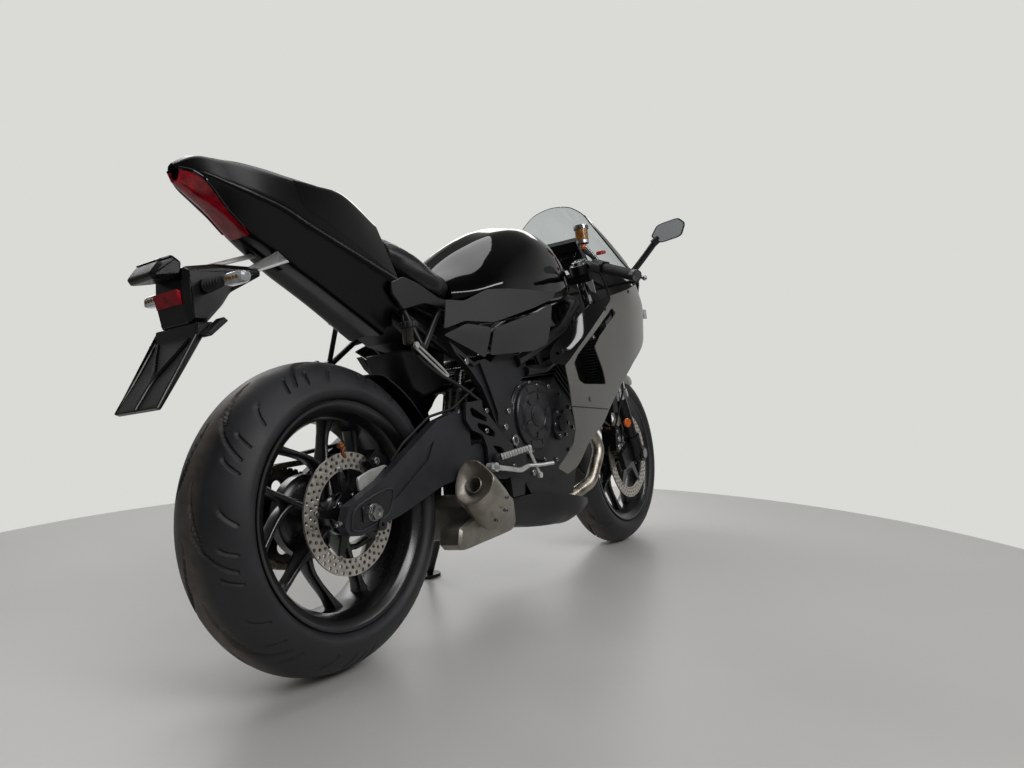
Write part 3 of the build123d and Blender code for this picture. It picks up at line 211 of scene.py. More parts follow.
def sheet(outline, lift, step=7.0, holes=(), soft=0.12):
    """Right-hand sheet y = -lift(x, z) inside an outline. Square cells whose centre is inside are
    kept, and their border points are moved to the nearest point of the outline."""
    loops = [rounded(o, soft, 5, 0, loop=True) for o in (outline, *holes)]
    lo, hi = loops[0].min(0) - step, loops[0].max(0) + step
    x, z = np.meshgrid(np.arange(lo[0], hi[0], step), np.arange(lo[1], hi[1], step), indexing="ij")
    p = np.stack([x, z], -1)
    mid = (p[:-1, :-1] + p[1:, 1:]) / 2
    keep = inside(mid, loops[0])
    for hole in loops[1:]:
        keep &= ~inside(mid, hole)
    pad = np.pad(keep, 1)
    count = pad[:-1, :-1].astype(int) + pad[1:, :-1] + pad[1:, 1:] + pad[:-1, 1:]
    border = (count > 0) & (count < 4)
    p[border] = nearest(p[border], loops)
    index = np.cumsum(count.reshape(-1) > 0).reshape(count.shape) - 1
    quads = np.stack([index[:-1, :-1], index[1:, :-1], index[1:, 1:], index[:-1, 1:]], -1)[keep]
    flat = p[count > 0]
    return np.stack([flat[:, 0], -lift(flat[:, 0], flat[:, 1]), flat[:, 1]], -1), [quads]


def side_of(table, soft=12.0):
    """Side distance y(x, z) of a panel: each row read as y over z, a cubic along x between rows,
    and a Gaussian of soft mm that rounds the creases."""
    xs = np.linspace(table[0][0], table[-1][0], 200)
    rows = through([r[0] for r in table], [r[1] for r in table], xs)
    zs = np.arange(rows[..., 1].min() - 20, rows[..., 1].max() + 20, 3.0)
    y = np.array([np.interp(zs, q[::-1, 1], q[::-1, 0]) for q in rows])
    reach = int(3 * soft / 3.0)
    kernel = np.exp(-0.5 * (np.arange(-reach, reach + 1) * 3.0 / soft) ** 2)
    padded = np.pad(y, ((0, 0), (reach, reach)), mode="reflect", reflect_type="odd")
    y = np.apply_along_axis(np.convolve, 1, padded, kernel / kernel.sum(), "valid")

    def lift(x, z):
        """y read from the table, bilinear between its four nearest points."""
        u = np.clip((x - xs[0]) / (xs[1] - xs[0]), 0, len(xs) - 1.001)
        w = np.clip((z - zs[0]) / 3.0, 0, len(zs) - 1.001)
        i, j = u.astype(int), w.astype(int)
        u, w = u - i, w - j
        return ((1 - u) * (1 - w) * y[i, j] + u * (1 - w) * y[i + 1, j]
                + (1 - u) * w * y[i, j + 1] + u * w * y[i + 1, j + 1])
    return lift


def basis(d):
    """Two unit vectors square to each direction d, and d itself."""
    d = np.asarray(d, float)
    d = d / np.linalg.norm(d, axis=-1, keepdims=True)
    ref = np.where(np.abs(d[..., 2:]) < 0.9, (0.0, 0.0, 1.0), (1.0, 0.0, 0.0))
    a = np.cross(ref, d)
    a = a / np.linalg.norm(a, axis=-1, keepdims=True)
    return a, np.cross(d, a), d


def turned(profile, at, along, sides=32, wave=None):
    """Profile of (radius, height) turned about the line from at along a direction; wave(angle)
    scales the radius."""
    a, b, d = basis(along)
    profile = np.asarray(profile, float)
    t = np.linspace(0, 2 * np.pi, sides, endpoint=False)
    r = profile[:, :1] * (1.0 if wave is None else wave(t)[None])
    ring = r[..., None] * (np.cos(t)[:, None] * a + np.sin(t)[:, None] * b)
    return grid(np.asarray(at, float) + ring + profile[:, 1, None, None] * d, close_v=True, caps=True)


def tube(points, radius, sides=14, n=6, soft=0.4):
    """Circle carried along a rounded line, its frame turned as little as the line allows."""
    path = rounded(points, soft, n, 1)
    keep = np.r_[True, np.linalg.norm(np.diff(path, axis=0), axis=1) > 0.05]
    path = path[keep]
    tan = np.gradient(path, axis=0)
    tan /= np.linalg.norm(tan, axis=1, keepdims=True)
    side = [basis(tan[0])[0]]
    for k in tan[1:]:
        s = side[-1] - k * (side[-1] @ k)
        side.append(s / np.linalg.norm(s))
    side = np.array(side)
    up = np.cross(tan, side)
    t = np.linspace(0, 2 * np.pi, sides, endpoint=False)[None, :, None]
    r = np.broadcast_to(np.asarray(radius, float), (len(path),))[:, None, None]
    return grid(path[:, None] + r * (np.cos(t) * side[:, None] + np.sin(t) * up[:, None]), close_v=True,
                caps=True)


BOLT = ((0.42, 0.45), (0.52, 1.0), (0.88, 1.0), (1.0, 0.84), (1.0, 0.0))


def bolts(spots, along, r, h):
    """One socket head at each spot: BOLT, in units of radius r and height h, turned with 12 sides."""
    spots = np.asarray(spots, float)
    v, faces = turned(np.array(BOLT) * (r, h), (0, 0, 0), (0, 0, 1), 12)
    a, b, d = basis(np.broadcast_to(np.asarray(along, float), spots.shape))
    turn = np.stack([a, b, d], -1)
    points = np.einsum("nij,vj->nvi", turn, v) + spots[:, None]
    base = (np.arange(len(spots)) * len(v))[:, None, None]
    faces = [np.asarray(f) for f in faces]
    return points.reshape(-1, 3), [(f[None] + base).reshape(-1, f.shape[1]) for f in faces]


def slab(outline, y0, y1, edge=1.5, soft=0.1, n=4):
    """Side outline (x, z) between two Y values with a small chamfer: four scaled rings and caps."""
    y0, y1 = min(y0, y1), max(y0, y1)
    o = rounded(outline, soft, n, 0, loop=True)
    out = np.roll(o, -1, axis=0) - np.roll(o, 1, axis=0)
    out = np.stack([out[:, 1], -out[:, 0]], -1) / np.maximum(np.linalg.norm(out, axis=1, keepdims=True), 1e-9)
    area = (o[:, 0] * np.roll(o[:, 1], -1) - o[:, 1] * np.roll(o[:, 0], -1)).sum()
    small = o - out * edge * np.sign(area)
    rings = [(small, y0), (o, y0 + edge), (o, y1 - edge), (small, y1)]
    return grid(np.array([np.stack([q[:, 0], np.full(len(q), y), q[:, 1]], -1) for q, y in rings]),
                close_v=True, caps=True)


def piece(name, part, body, material, replaces=(), crease=32.0):
    """Mesh object at the origin from bike millimetres: doubles merged, faces turned outwards,
    shaded smooth up to the crease angle, riding on its body."""
    mesh = bpy.data.meshes.new(name)
    v, faces = part
    mesh.from_pydata(place(v).tolist(), [], [q for f in faces for q in np.asarray(f).tolist()])
    bm = bmesh.new()
    bm.from_mesh(mesh)
    bmesh.ops.remove_doubles(bm, verts=bm.verts, dist=1e-6)
    bmesh.ops.dissolve_degenerate(bm, edges=bm.edges, dist=1e-7)
    bmesh.ops.recalc_face_normals(bm, faces=bm.faces)
    bm.to_mesh(mesh)
    bm.free()
    mesh.shade_smooth()
    mesh.set_sharp_from_angle(angle=math.radians(crease))
    obj = bpy.data.objects.new(name, mesh)
    bpy.context.scene.collection.objects.link(obj)
    mesh.materials.append(material)
    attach(obj, body)
    if replaces:
        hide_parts(*replaces)
    return obj


# ------------------------------------------------------------ finishes
def linear(code):
    """sRGB hex to linear RGBA: c / 12.92 below 0.04045, else ((c + 0.055) / 1.055) to the 2.4."""
    c = [int(code[i:i + 2], 16) / 255 for i in (1, 3, 5)]
    return tuple(v / 12.92 if v <= 0.04045 else ((v + 0.055) / 1.055) ** 2.4 for v in c) + (1.0,)


def tone(colour, share=1.0):
    """Share of a linear colour, opaque: a darker tone of the same hue."""
    return tuple(share * c for c in colour[:3]) + (1.0,)


def add(tree, kind, values=None, links=None, **settings):
    """Adds a shader node with its settings, input values and incoming links."""
    node = tree.nodes.new("ShaderNode" + kind)
    for key, value in settings.items():
        setattr(node, key, value)
    for key, value in (values or {}).items():
        node.inputs[key].default_value = value
    for key, socket in (links or {}).items():
        tree.links.new(socket, node.inputs[key])
    return node


def finish(name, dark, light, rough, metal=0.0, grain=1.0, height=0.03, cloud=90.0, swing=0.08,
           values=None):
    """Surface finish. A broad cloud turns the dark colour to the light one and moves the roughness
    by swing; a fine grain of that width, in mm, lifts the surface by height, in mm. Real grains are
    mostly finer; they are drawn 0.7 mm wide or more, as a finer one would not show. A colour is a hex
    code or a tone."""
    mat = bpy.data.materials.new(name)
    mat.use_nodes = True
    tree = mat.node_tree
    surface = tree.nodes["Principled BSDF"]
    where = add(tree, "TexCoord").outputs["Object"]
    upright = add(tree, "Mapping", {"Rotation": (LEAN, 0, 0)}, {"Vector": where}).outputs[0]
    broad = add(tree, "TexNoise", {"Scale": 1000 / cloud, "Detail": 5.0, "Roughness": 0.6},
                {"Vector": upright})
    fine = add(tree, "TexNoise", {"Scale": 1000 / grain, "Detail": 3.0}, {"Vector": upright})
    amount = add(tree, "MapRange", {"From Min": 0.35, "From Max": 0.75}, {"Value": broad.outputs[0]})
    mix = add(tree, "Mix", data_type="RGBA")
    for socket, colour in ((6, dark), (7, light)):
        mix.inputs[socket].default_value = linear(colour) if isinstance(colour, str) else colour
    tree.links.new(amount.outputs[0], mix.inputs[0])
    tree.links.new(mix.outputs[2], surface.inputs["Base Color"])
    shine = add(tree, "MapRange", {"From Min": 0.3, "From Max": 0.7, "To Min": max(rough - swing, 0.02),
                                   "To Max": rough + swing}, {"Value": broad.outputs[0]})
    tree.links.new(shine.outputs[0], surface.inputs["Roughness"])
    bump = add(tree, "Bump", {"Strength": 1.0, "Distance": height / 1000}, {"Height": fine.outputs[0]})
    tree.links.new(bump.outputs[0], surface.inputs["Normal"])
    surface.inputs["Metallic"].default_value = metal
    for key, value in (values or {}).items():
        surface.inputs[key].default_value = value
    return mat


def dust_band(mat):
    """Brown floor dust along the middle of the tread: its share falls from 0.75 to nothing between 8 and
    34 mm from the wheels' plane, and is multiplied by a noise of 25 mm."""
    tree = mat.node_tree
    surface = tree.nodes["Principled BSDF"]
    base = surface.inputs["Base Color"].links[0].from_socket
    upright = next(n for n in tree.nodes if n.type == "MAPPING").outputs[0]
    off = add(tree, "Math", {1: ORIGIN[1] / 1000},
              {0: add(tree, "SeparateXYZ", links={0: upright}).outputs["Y"]}, operation="ADD")
    away = add(tree, "Math", links={0: off.outputs[0]}, operation="ABSOLUTE")
    share = add(tree, "MapRange", {"From Min": 0.008, "From Max": 0.034, "To Min": 0.75, "To Max": 0.0},
                {"Value": away.outputs[0]})
    blot = add(tree, "TexNoise", {"Scale": 1000 / 25, "Detail": 4.0}, {"Vector": upright})
    part = add(tree, "Math", links={0: share.outputs[0], 1: blot.outputs[0]}, operation="MULTIPLY")
    mix = add(tree, "Mix", links={0: part.outputs[0], 6: base}, data_type="RGBA")
    mix.inputs[7].default_value = linear("#6e6157")
    tree.links.new(mix.outputs[2], surface.inputs["Base Color"])


def finishes(colours):
    """Every finish of the CAD nodes, by its slot in the record."""
    m = {}
    # New rubber, moulded: nearly black and dull, brown with floor dust along the tread.
    m["tyre"] = finish("moulded_tyre_rubber", "#1b1c1f", "#27282b", 0.55, grain=1.6, height=0.04, cloud=60)
    dust_band(m["tyre"])
    # Cast aluminium under satin black powder: a soft broad shine and a fine orange peel.
    m["rim_black"] = finish("powder_coated_cast_alloy", tone(colours.wheel_powder, 0.464),
                            tone(colours.wheel_powder), 0.3, grain=1.4, height=0.015, cloud=120,
                            values={"Coat Weight": 0.6, "Coat Roughness": 0.2})
    # Stainless steel, face ground: bright warm grey, dulled by its fine scratches.
    m["disc_steel"] = finish("ground_stainless_steel", "#c2bcb3", "#e6e0d7", 0.36, 0.9, grain=0.7,
                             height=0.02, cloud=8)
    # Hardened steel with a dark coat: grey brown with worn lighter patches.
    m["sprocket_steel"] = finish("blackened_steel", "#2c2b2b", "#56534f", 0.38, 1.0, grain=0.8, height=0.02,
                                 cloud=14)
    # Oiled chain steel: brownish, with a wet shine.
    m["chain_steel"] = finish("oiled_chain_steel", "#4e4a43", "#8a8478", 0.3, 1.0, grain=1.0, height=0.03,
                              cloud=10)
    # Sand cast aluminium, painted matte gunmetal: even, with a fine casting grain.
    m["swingarm_grey"] = finish("matte_painted_casting", "#25262a", "#303136", 0.46, 0.3, grain=1.2,
                                height=0.05, cloud=70)
    # Steel tube in satin black powder: a smooth low shine.
    m["frame_black"] = finish("satin_black_powder", "#0a0a0b", "#121214", 0.36, grain=1.5, height=0.02,
                              cloud=80)
    # Die cast aluminium in matte dark grey paint: faint grain, no hot spots.
    m["plate_grey"] = finish("matte_grey_die_casting", "#202124", "#2b2c2f", 0.5, 0.3, grain=1.1, height=0.05,
                             cloud=60)
    # Sand cast crankcase in satin black: grainier, with slightly greyer high spots.
    m["engine_black"] = finish("satin_black_casting", "#111112", "#1f1f20", 0.45, 0.2, grain=1.6, height=0.12,
                               cloud=30)
    # Die cast covers in satin dark grey: a low shine that shows the steps.
    m["cover_grey"] = finish("satin_dark_grey_casting", "#28282b", "#38383c", 0.34, 0.4, grain=1.3,
                             height=0.05, cloud=50)
    # Steel with bright zinc: pale silver, a little cloudy.
    m["bright_steel"] = finish("zinc_plated_steel", "#8f9092", "#bdbdbc", 0.28, 1.0, grain=0.9, height=0.02,
                               cloud=12)
    # Aluminium core in matte black paint.
    m["radiator_black"] = finish("matte_black_painted_core", "#0b0b0c", "#171718", 0.6, grain=1.2,
                                 height=0.05, cloud=20)
    # Stainless pipe, lightly heat tinted: pale straw grey in broad clouds.
    m["header_steel"] = finish("heat_tinted_stainless_pipe", "#857d71", "#ccc5b9", 0.34, 1.0, grain=1.0,
                               height=0.02, cloud=45)
    # Bead blasted stainless box: soft warm grey in broad clouds.
    m["silencer_steel"] = finish("bead_blasted_stainless_box", "#8a857d", "#b3ada4", 0.43, 0.85, grain=0.9,
                                 height=0.05, cloud=55)
    # ABS in gloss black lacquer: deep black, mirror clear coat.
    m["gloss_black"] = finish("gloss_black_lacquered_plastic", tone(colours.lacquer, 0.62),
                              tone(colours.lacquer), 0.05, grain=4, height=0.003, cloud=200, swing=0.02)
    # ABS in satin grey paint: warm mid grey, a wide soft shine over a very fine grain.
    m["body_grey"] = finish("satin_grey_painted_plastic", tone(colours.fairing_paint, 0.805),
                            tone(colours.fairing_paint), 0.36, 0.25, grain=0.8, height=0.006,
                            cloud=220, swing=0.03, values={"Coat Weight": 0.35, "Coat Roughness": 0.3})
    # Polypropylene, moulded with a fine leather grain: flat black.
    m["trim_black"] = finish("grained_black_polypropylene", "#0c0c0d", "#141415", 0.44, grain=1.3,
                             height=0.05, cloud=80)
    # ABS moulded in charcoal, unpainted: matte and even.
    m["charcoal"] = finish("matte_charcoal_plastic", tone(colours.cover_plastic, 0.657),
                           tone(colours.cover_plastic), 0.52, grain=1.1, height=0.04, cloud=90)
    # Vinyl seat cloth, embossed: small grain, a low greasy shine.
    m["vinyl"] = finish("embossed_black_vinyl", "#0e0e0f", "#161617", 0.42, grain=2.2, height=0.12, cloud=120)
    # Red acrylic lens, moulded: deep red and glassy over its pattern.
    m["lamp_red"] = finish("moulded_red_acrylic", tone(colours.lens_red, 0.34), tone(colours.lens_red), 0.16,
                           grain=5, height=0.3, cloud=18, values={"Transmission Weight": 0.15})
    # Clear acrylic lens over a silvered bowl.
    m["lamp_clear"] = finish("clear_acrylic_lens", "#a9acb0", "#e4e6e8", 0.08, grain=5, height=0.04, cloud=20,
                             values={"Transmission Weight": 0.55, "Coat Weight": 1.0})
    # Polycarbonate screen: clear with a faint grey tint.
    m["screen"] = finish("clear_polycarbonate_sheet", "#cdd2d3", "#d6dadb", 0.02, grain=40, height=0.002,
                         cloud=400, swing=0.01, values={"Transmission Weight": 1.0, "IOR": 1.3})
    # Grip rubber: soft black with fine pores.
    m["rubber"] = finish("soft_grip_rubber", "#101011", "#1a1a1b", 0.6, grain=1.2, height=0.06, cloud=30)
    # Hard chromed fork tube: mirror bright.
    m["fork_chrome"] = finish("hard_chromed_tube", "#b5b6b8", "#cfd0d2", 0.1, 1.0, grain=2, height=0.004,
                              cloud=60, swing=0.03)
    # Cast caliper in satin black anodising.
    m["caliper_black"] = finish("black_anodised_casting", "#0c0c0d", "#1a1a1b", 0.34, 0.4, grain=1.2,
                                height=0.04, cloud=25)
    # Forged stand in satin black paint: a low, slightly cloudy shine.
    m["stand_black"] = finish("satin_black_painted_forging", "#0d0d0e", "#191919", 0.4, 0.2, grain=1.4,
                              height=0.06, cloud=30)
    return m


# ------------------------------------------------------------ wheels
def bend(a, b, c, n):
    """Circular arc from a through b to c: the circle's centre is where the two chords' middle lines meet."""
    a, b, c = (np.array(p, float) for p in (a, b, c))
    o = np.linalg.solve(2 * np.array([b - a, c - a]), [(b @ b) - (a @ a), (c @ c) - (a @ a)])
    t = np.unwrap([math.atan2(*(p - o)[::-1]) for p in (a, b, c)])
    s = np.linspace(t[0], t[2], n)
    return o + np.linalg.norm(a - o) * np.stack([np.cos(s), np.sin(s)], -1)


def tyre(centre, radius, width, rim_w, repeats, across, around, depth, lines):
    """Tyre as profile(s) turned through an angle. The tread is cut in by depth times a smooth step
    of the distance to each groove; a groove is the line around = sweep * ((|y| - y0) / (y1 - y0)) ** 0.62,
    repeated round the wheel and moved half a repeat on the other side."""
    shoulder, half = radius - width * 0.30, width / 2
    crown = bend((shoulder, -half * 0.97), (radius, 0), (shoulder, half * 0.97), across)
    left = bend((shoulder, half * 0.97), (shoulder - 16, half), (229.9, rim_w / 2 - 6.5), 14)[1:]
    base = np.array([(216.2, rim_w / 2 - 7), (216.2, 7 - rim_w / 2)])
    right = left[::-1] * (1, -1)
    profile = np.vstack([crown, left, base, right[:-1]])
    r, y = profile[:, 0], profile[:, 1]
    t = np.linspace(0, 2 * np.pi, around, endpoint=False)[:, None]
    pitch = 2 * np.pi * radius / repeats
    cut = np.zeros((around, len(r)))
    for y0, y1, sweep, shift, wide in lines:
        k = np.clip((np.abs(y) - y0) / (y1 - y0), 0.002, 1)
        at = sweep * k ** 0.62
        slope = sweep * 0.62 * k ** -0.38 / (y1 - y0)
        gap = t * radius - at + shift * pitch + (y > 0) * pitch / 2
        gap = np.abs((gap + pitch / 2) % pitch - pitch / 2) / np.sqrt(1 + slope ** 2)
        ends = np.clip((np.abs(y) - y0) / 3, 0, 1) * np.clip((y1 - np.abs(y)) / 3, 0, 1)
        cut = np.maximum(cut, np.clip((wide / 2 + 1.1 - gap) / 2.0, 0, 1) * ends)
    cut = cut * cut * (3 - 2 * cut) * (r > radius - 52)
    ribs = 0.5 * np.exp(-((r - 246) / 2.0) ** 2) * (np.abs(y) > rim_w / 2 - 9)
    r = r - depth * cut
    side = np.broadcast_to(y + np.sign(y) * ribs, r.shape)
    points = xyz(r * np.cos(t), side, r * np.sin(t)) + centre
    return grid(points, close_u=True, close_v=True)


def drilled(centre, y, r0, r1, rows, per_row, hole, thick):
    """Drilled ring. Each cell of the ring is the surface between its hole's circle and its border,
    and every second row is moved half a cell."""
    s = np.array([-1, -0.5, 0, 0.5])
    one = np.ones(4)
    square = np.concatenate([np.stack([s, -one], -1), np.stack([one, s], -1),
                             np.stack([-s, one], -1), np.stack([-one, -s], -1)])
    angle = np.arctan2(square[:, 1], square[:, 0])
    edge = np.linspace(r0, r1, rows + 1)
    j, i = np.meshgrid(np.arange(rows), np.arange(per_row), indexing="ij")
    j, i = j.reshape(-1, 1), i.reshape(-1, 1)
    step = 2 * np.pi / per_row
    mid_r = (edge[j] + edge[j + 1]) / 2
    mid_t = (i + 0.5 * (j % 2)) * step
    cell = np.stack([mid_t + square[:, 0] * step / 2, mid_r + square[:, 1] * (r1 - r0) / rows / 2], -1)
    hub = np.stack([mid_t + hole * np.cos(angle) / mid_r, mid_r + hole * np.sin(angle)], -1)
    rings = np.stack([cell, hub, hub, cell], 1)
    high = np.array([1, 1, -1, -1])[None, :, None] * thick / 2 + y
    t, r = rings[..., 0], rings[..., 1]
    p = xyz(r * np.cos(t), np.broadcast_to(high, r.shape), r * np.sin(t)) + centre
    index = np.arange(r.size).reshape(r.shape)
    wrap = np.concatenate([index, index[:, :, :1]], 2)
    quads = np.stack([wrap[:, :-1, :-1], wrap[:, 1:, :-1], wrap[:, 1:, 1:], wrap[:, :-1, 1:]],
                     -1).reshape(-1, 4)
    parts = [(p.reshape(-1, 3), [quads])]
    t = np.linspace(0, 2 * np.pi, per_row * 4, endpoint=False)[:, None]
    for radius, shift in ((r0, 0), (r1, (rows - 1) % 2 * step / 2)):
        a = t + shift
        rim = xyz(radius * np.cos(a), np.array([y - thick / 2, y + thick / 2]) + 0 * a, radius * np.sin(a))
        parts.append(grid(rim + centre, close_u=True))
    return join(parts)


def spider(centre, y0, y1, bore, hub, tip, turn):
    """Disc carrier: the outer radius goes from the hub to the tip by |cos(5 (angle - turn) / 2)| to the
    14, so it has five arms."""
    t = np.linspace(0, 2 * np.pi, 160, endpoint=False)
    swell = np.abs(np.cos((t - turn) * 5 / 2)) ** 14
    out = hub + (tip - hub) * swell
    r = np.stack([np.full_like(t, bore), out - 1, out, out, out - 1, np.full_like(t, bore)], -1)
    y = np.array([y0, y0, y0 + 1, y1 - 1, y1, y1])
    p = xyz(r * np.cos(t)[:, None], np.broadcast_to(y, r.shape), r * np.sin(t)[:, None])
    return grid(p + centre, close_u=True, close_v=True)


def ring_of(centre, y, radius, count, turn=0.0):
    """Spots on a circle about a line along Y."""
    t = 2 * np.pi * np.arange(count) / count + turn
    return xyz(radius * np.cos(t), np.full(count, y), radius * np.sin(t)) + centre


FRONT, REAR = np.array([WHEELBASE, 0, FRONT_R]), np.array([0, 0, REAR_R])


def spoke(centre, line, wide, deep):
    """Cast arm: a superellipse |u / wide|^3 + |y / deep|^3 = 1 carried along a line of
    (radius, degrees) points, with wide and deep read off short tables."""
    line = np.array(line, float)
    a = np.radians(line[:, 1])
    flat = np.stack([line[:, 0] * np.cos(a), line[:, 0] * np.sin(a)], -1)
    k = np.linspace(0, 1, 30)
    flat = through(np.linspace(0, 1, len(line)), flat, k)
    mid = xyz(flat[:, 0], 0, flat[:, 1]) + centre
    run = np.gradient(mid, axis=0)
    run /= np.linalg.norm(run, axis=1, keepdims=True)
    across = np.cross(run, (0, 1, 0))
    w = np.interp(k, np.linspace(0, 1, len(wide)), wide)[:, None, None]
    d = np.interp(k, np.linspace(0, 1, len(deep)), deep)[:, None, None]
    t = np.linspace(0, 2 * np.pi, 20, endpoint=False)
    c = np.sign(np.cos(t)) * np.abs(np.cos(t)) ** 0.66
    q = np.sign(np.sin(t)) * np.abs(np.sin(t)) ** 0.66
    return grid(mid[:, None] + c[:, None] * w * across[:, None] + q[:, None] * d * np.array((0, 1.0, 0)),
                close_v=True, caps=True)


def rim(centre, width, hub, hub_half, bore, deep, phase):
    """Cast rim: drop-centre barrel and hub turned about the axle, five arms that each fork into a
    straight leg and a slanted one."""
    hw, seat, flange = width / 2, 215.9, 227.9
    line = np.array([(flange - 1, -hw), (flange, -hw + 1.5), (flange, -hw + 4), (seat + 2, -hw + 6),
                     (seat, -hw + 9),
                     (seat - 3, -hw + 24), (seat - 14, -hw + 33), (seat - 17, -hw + 38), (seat - 17, hw - 38),
                     (seat - 14, hw - 33), (seat - 3, hw - 24), (seat, hw - 9), (seat + 2, hw - 6),
                     (flange, hw - 4),
                     (flange, hw - 1.5), (flange - 1, hw), (flange - 6, hw), (flange - 9, hw - 2),
                     (seat - 9, hw - 8),
                     (seat - 12, hw - 12), (seat - 22, hw - 30), (seat - 24, hw - 36), (seat - 24, -hw + 36),
                     (seat - 22, -hw + 30), (seat - 12, -hw + 12), (seat - 9, -hw + 8), (flange - 9, -hw + 2),
                     (flange - 6, -hw)])
    t = np.linspace(0, 2 * np.pi, 180, endpoint=False)[:, None]
    parts = [grid(xyz(line[:, 0] * np.cos(t), line[:, 1], line[:, 0] * np.sin(t)) + centre, close_u=True,
                  close_v=True)]
    body = np.array([(bore, -hub_half), (hub - 2, -hub_half), (hub, -hub_half + 2), (hub, -hub_half + 14),
                     (hub * 0.8, -hub_half * 0.5), (hub * 0.8, hub_half * 0.5), (hub, hub_half - 14),
                     (hub, hub_half - 2), (hub - 2, hub_half), (bore, hub_half)])
    parts.append(grid(xyz(body[:, 0] * np.cos(t), body[:, 1], body[:, 0] * np.sin(t)) + centre, close_u=True,
                      close_v=True))
    for a in phase + 72 * np.arange(5):
        straight = [(hub * 0.5, a + 6), (80, a + 3), (125, a + 1), (160, a), (196, a - 2)]
        parts.append(spoke(centre, straight, (15, 11, 8, 6.5, 6.5, 8, 13),
                           deep * np.array((2, 1.5, 1, 0.8, 0.8, 1))))
        slanted = [(84, a + 2), (100, a + 10), (118, a + 20), (139, a + 31), (165, a + 40.5), (196, a + 47)]
        parts.append(spoke(centre, slanted, (7, 8, 7, 6.5, 6.5, 8, 13),
                           deep * np.array((0.9, 1, 0.85, 0.8, 0.8, 1))))
    return join(parts)


def make_wheels(m, size):
    """Tyres, cast rims, drilled discs on their carriers, and studs, all turned or swept about the axles."""
    tread, thick = size.tread_depth * 1000.0, size.disc_thickness * 1000.0
    piece("rear_tyre_tread", tyre(REAR, REAR_R, 180, 158, 9, 64, 1000, tread,
                                  ((7, 38, 125, 0.0, 5.6), (14, 78, 100, 0.65, 5.6), (50, 80, 32, 0.22, 4.6),
                                   (56, 82, 25, 0.46, 4.6), (58, 84, 42, 0.80, 4.6))),
          "rear_wheel", m["tyre"], ["rear_tyre"])
    piece("front_tyre_tread", tyre(FRONT, FRONT_R, 120, 108, 9, 56, 1000, tread,
                                   ((5, 26, 110, 0.0, 5.0), (9, 52, 90, 0.65, 5.0), (34, 54, 30, 0.3, 4.2))),
          "front_wheel", m["tyre"], ["front_tyre"])
    piece("rear_rim_casting", rim(REAR, 158, 42, 62, 10.1, 20, 226), "rear_wheel", m["rim_black"],
          ["rear_rim"], crease=40)
    piece("front_rim_casting", rim(FRONT, 108, 30, 55, 11.1, 16, 226), "front_wheel", m["rim_black"],
          ["front_rim"], crease=40)
    drum = turned([(20, 22), (66, 24), (80, 30), (85, 36), (86, 56), (82, 61), (20, 61)], REAR, (0, 1, 0), 64)
    piece("rear_hub_drum", drum, "rear_wheel", m["rim_black"])
    rings, carriers, studs = [], [], []
    for side in (-1, 1):
        y = side * 66.8
        rings.append(drilled(FRONT, y, 115.5, 149, 3, 48, 3.6, thick))
        carriers.append(spider(FRONT, y - 2.6, y + 2.6, 22.3, 50, 122, turn=0.3))
        carriers.append(turned([(22.3, 55), (28, 55), (28, 68.8), (22.3, 68.8)], FRONT, (0, side, 0), 40))
        studs.append(bolts(ring_of(FRONT, y + side * 2.2, 118, 5, 0.3), (0, side, 0), 6.5, 2.5))
    piece("front_disc_rings", join(rings), "front_wheel", m["disc_steel"], ["front_discs"])
    piece("front_disc_carriers", join(carriers), "front_wheel", m["rim_black"])
    piece("rear_disc_ring", drilled(REAR, -80, 88.5, 122.5, 3, 40, 3.9, thick), "rear_wheel", m["disc_steel"],
          ["rear_disc"])
    hub = turned([(20.2, 62), (36, 62), (36, 80), (20.2, 80)], REAR, (0, -1, 0), 48)
    piece("rear_disc_carrier", join([spider(REAR, -82.6, -77.4, 20.2, 44, 95, turn=0.5), hub]), "rear_wheel",
          m["rim_black"])
    studs.append(bolts(ring_of(FRONT, 69.6, 36, 5), (0, 1, 0), 5, 3))
    piece("front_disc_studs", join(studs), "front_wheel", m["bright_steel"])
    piece("rear_disc_studs", join([bolts(ring_of(REAR, -82.4, 36, 5), (0, -1, 0), 6, 3.5),
                                   bolts(ring_of(REAR, -82.4, 91, 5, 0.5), (0, -1, 0), 6, 2.5)]),
          "rear_wheel", m["bright_steel"])


# ------------------------------------------------------------ tank, seat and tail
TANK = [
    (386, [(0, 858), (45, 852), (86, 828), (106, 800), (108, 770), (90, 740), (0, 740)]),
    (450, [(0, 900), (50, 886), (100, 846), (128, 808), (130, 775), (110, 740), (0, 740)]),
    (540, [(0, 952), (66, 930), (124, 876), (150, 826), (148, 785), (118, 740), (0, 740)]),
    (650, [(0, 1002), (84, 976), (140, 916), (160, 842), (152, 790), (112, 740), (0, 740)]),
    (800, [(0, 1032), (90, 1010), (143, 954), (160, 862), (150, 800), (100, 760), (0, 760)]),
    (930, [(0, 1014), (82, 990), (128, 933), (146, 856), (134, 810), (84, 790), (0, 790)]),
    (1010, [(0, 972), (58, 953), (98, 904), (118, 863), (100, 830), (70, 815), (0, 815)]),
]
SEAT = [
    (192, [(0, 925), (46, 920), (80, 898), (92, 872), (84, 848), (0, 848)]),
    (250, [(0, 890), (60, 886), (106, 866), (116, 842), (104, 802), (0, 802)]),
    (320, [(0, 856), (70, 853), (120, 836), (132, 810), (118, 772), (0, 772)]),
    (385.7, [(0, 848), (60, 844), (100, 824), (108, 798), (96, 766), (0, 766)]),
]
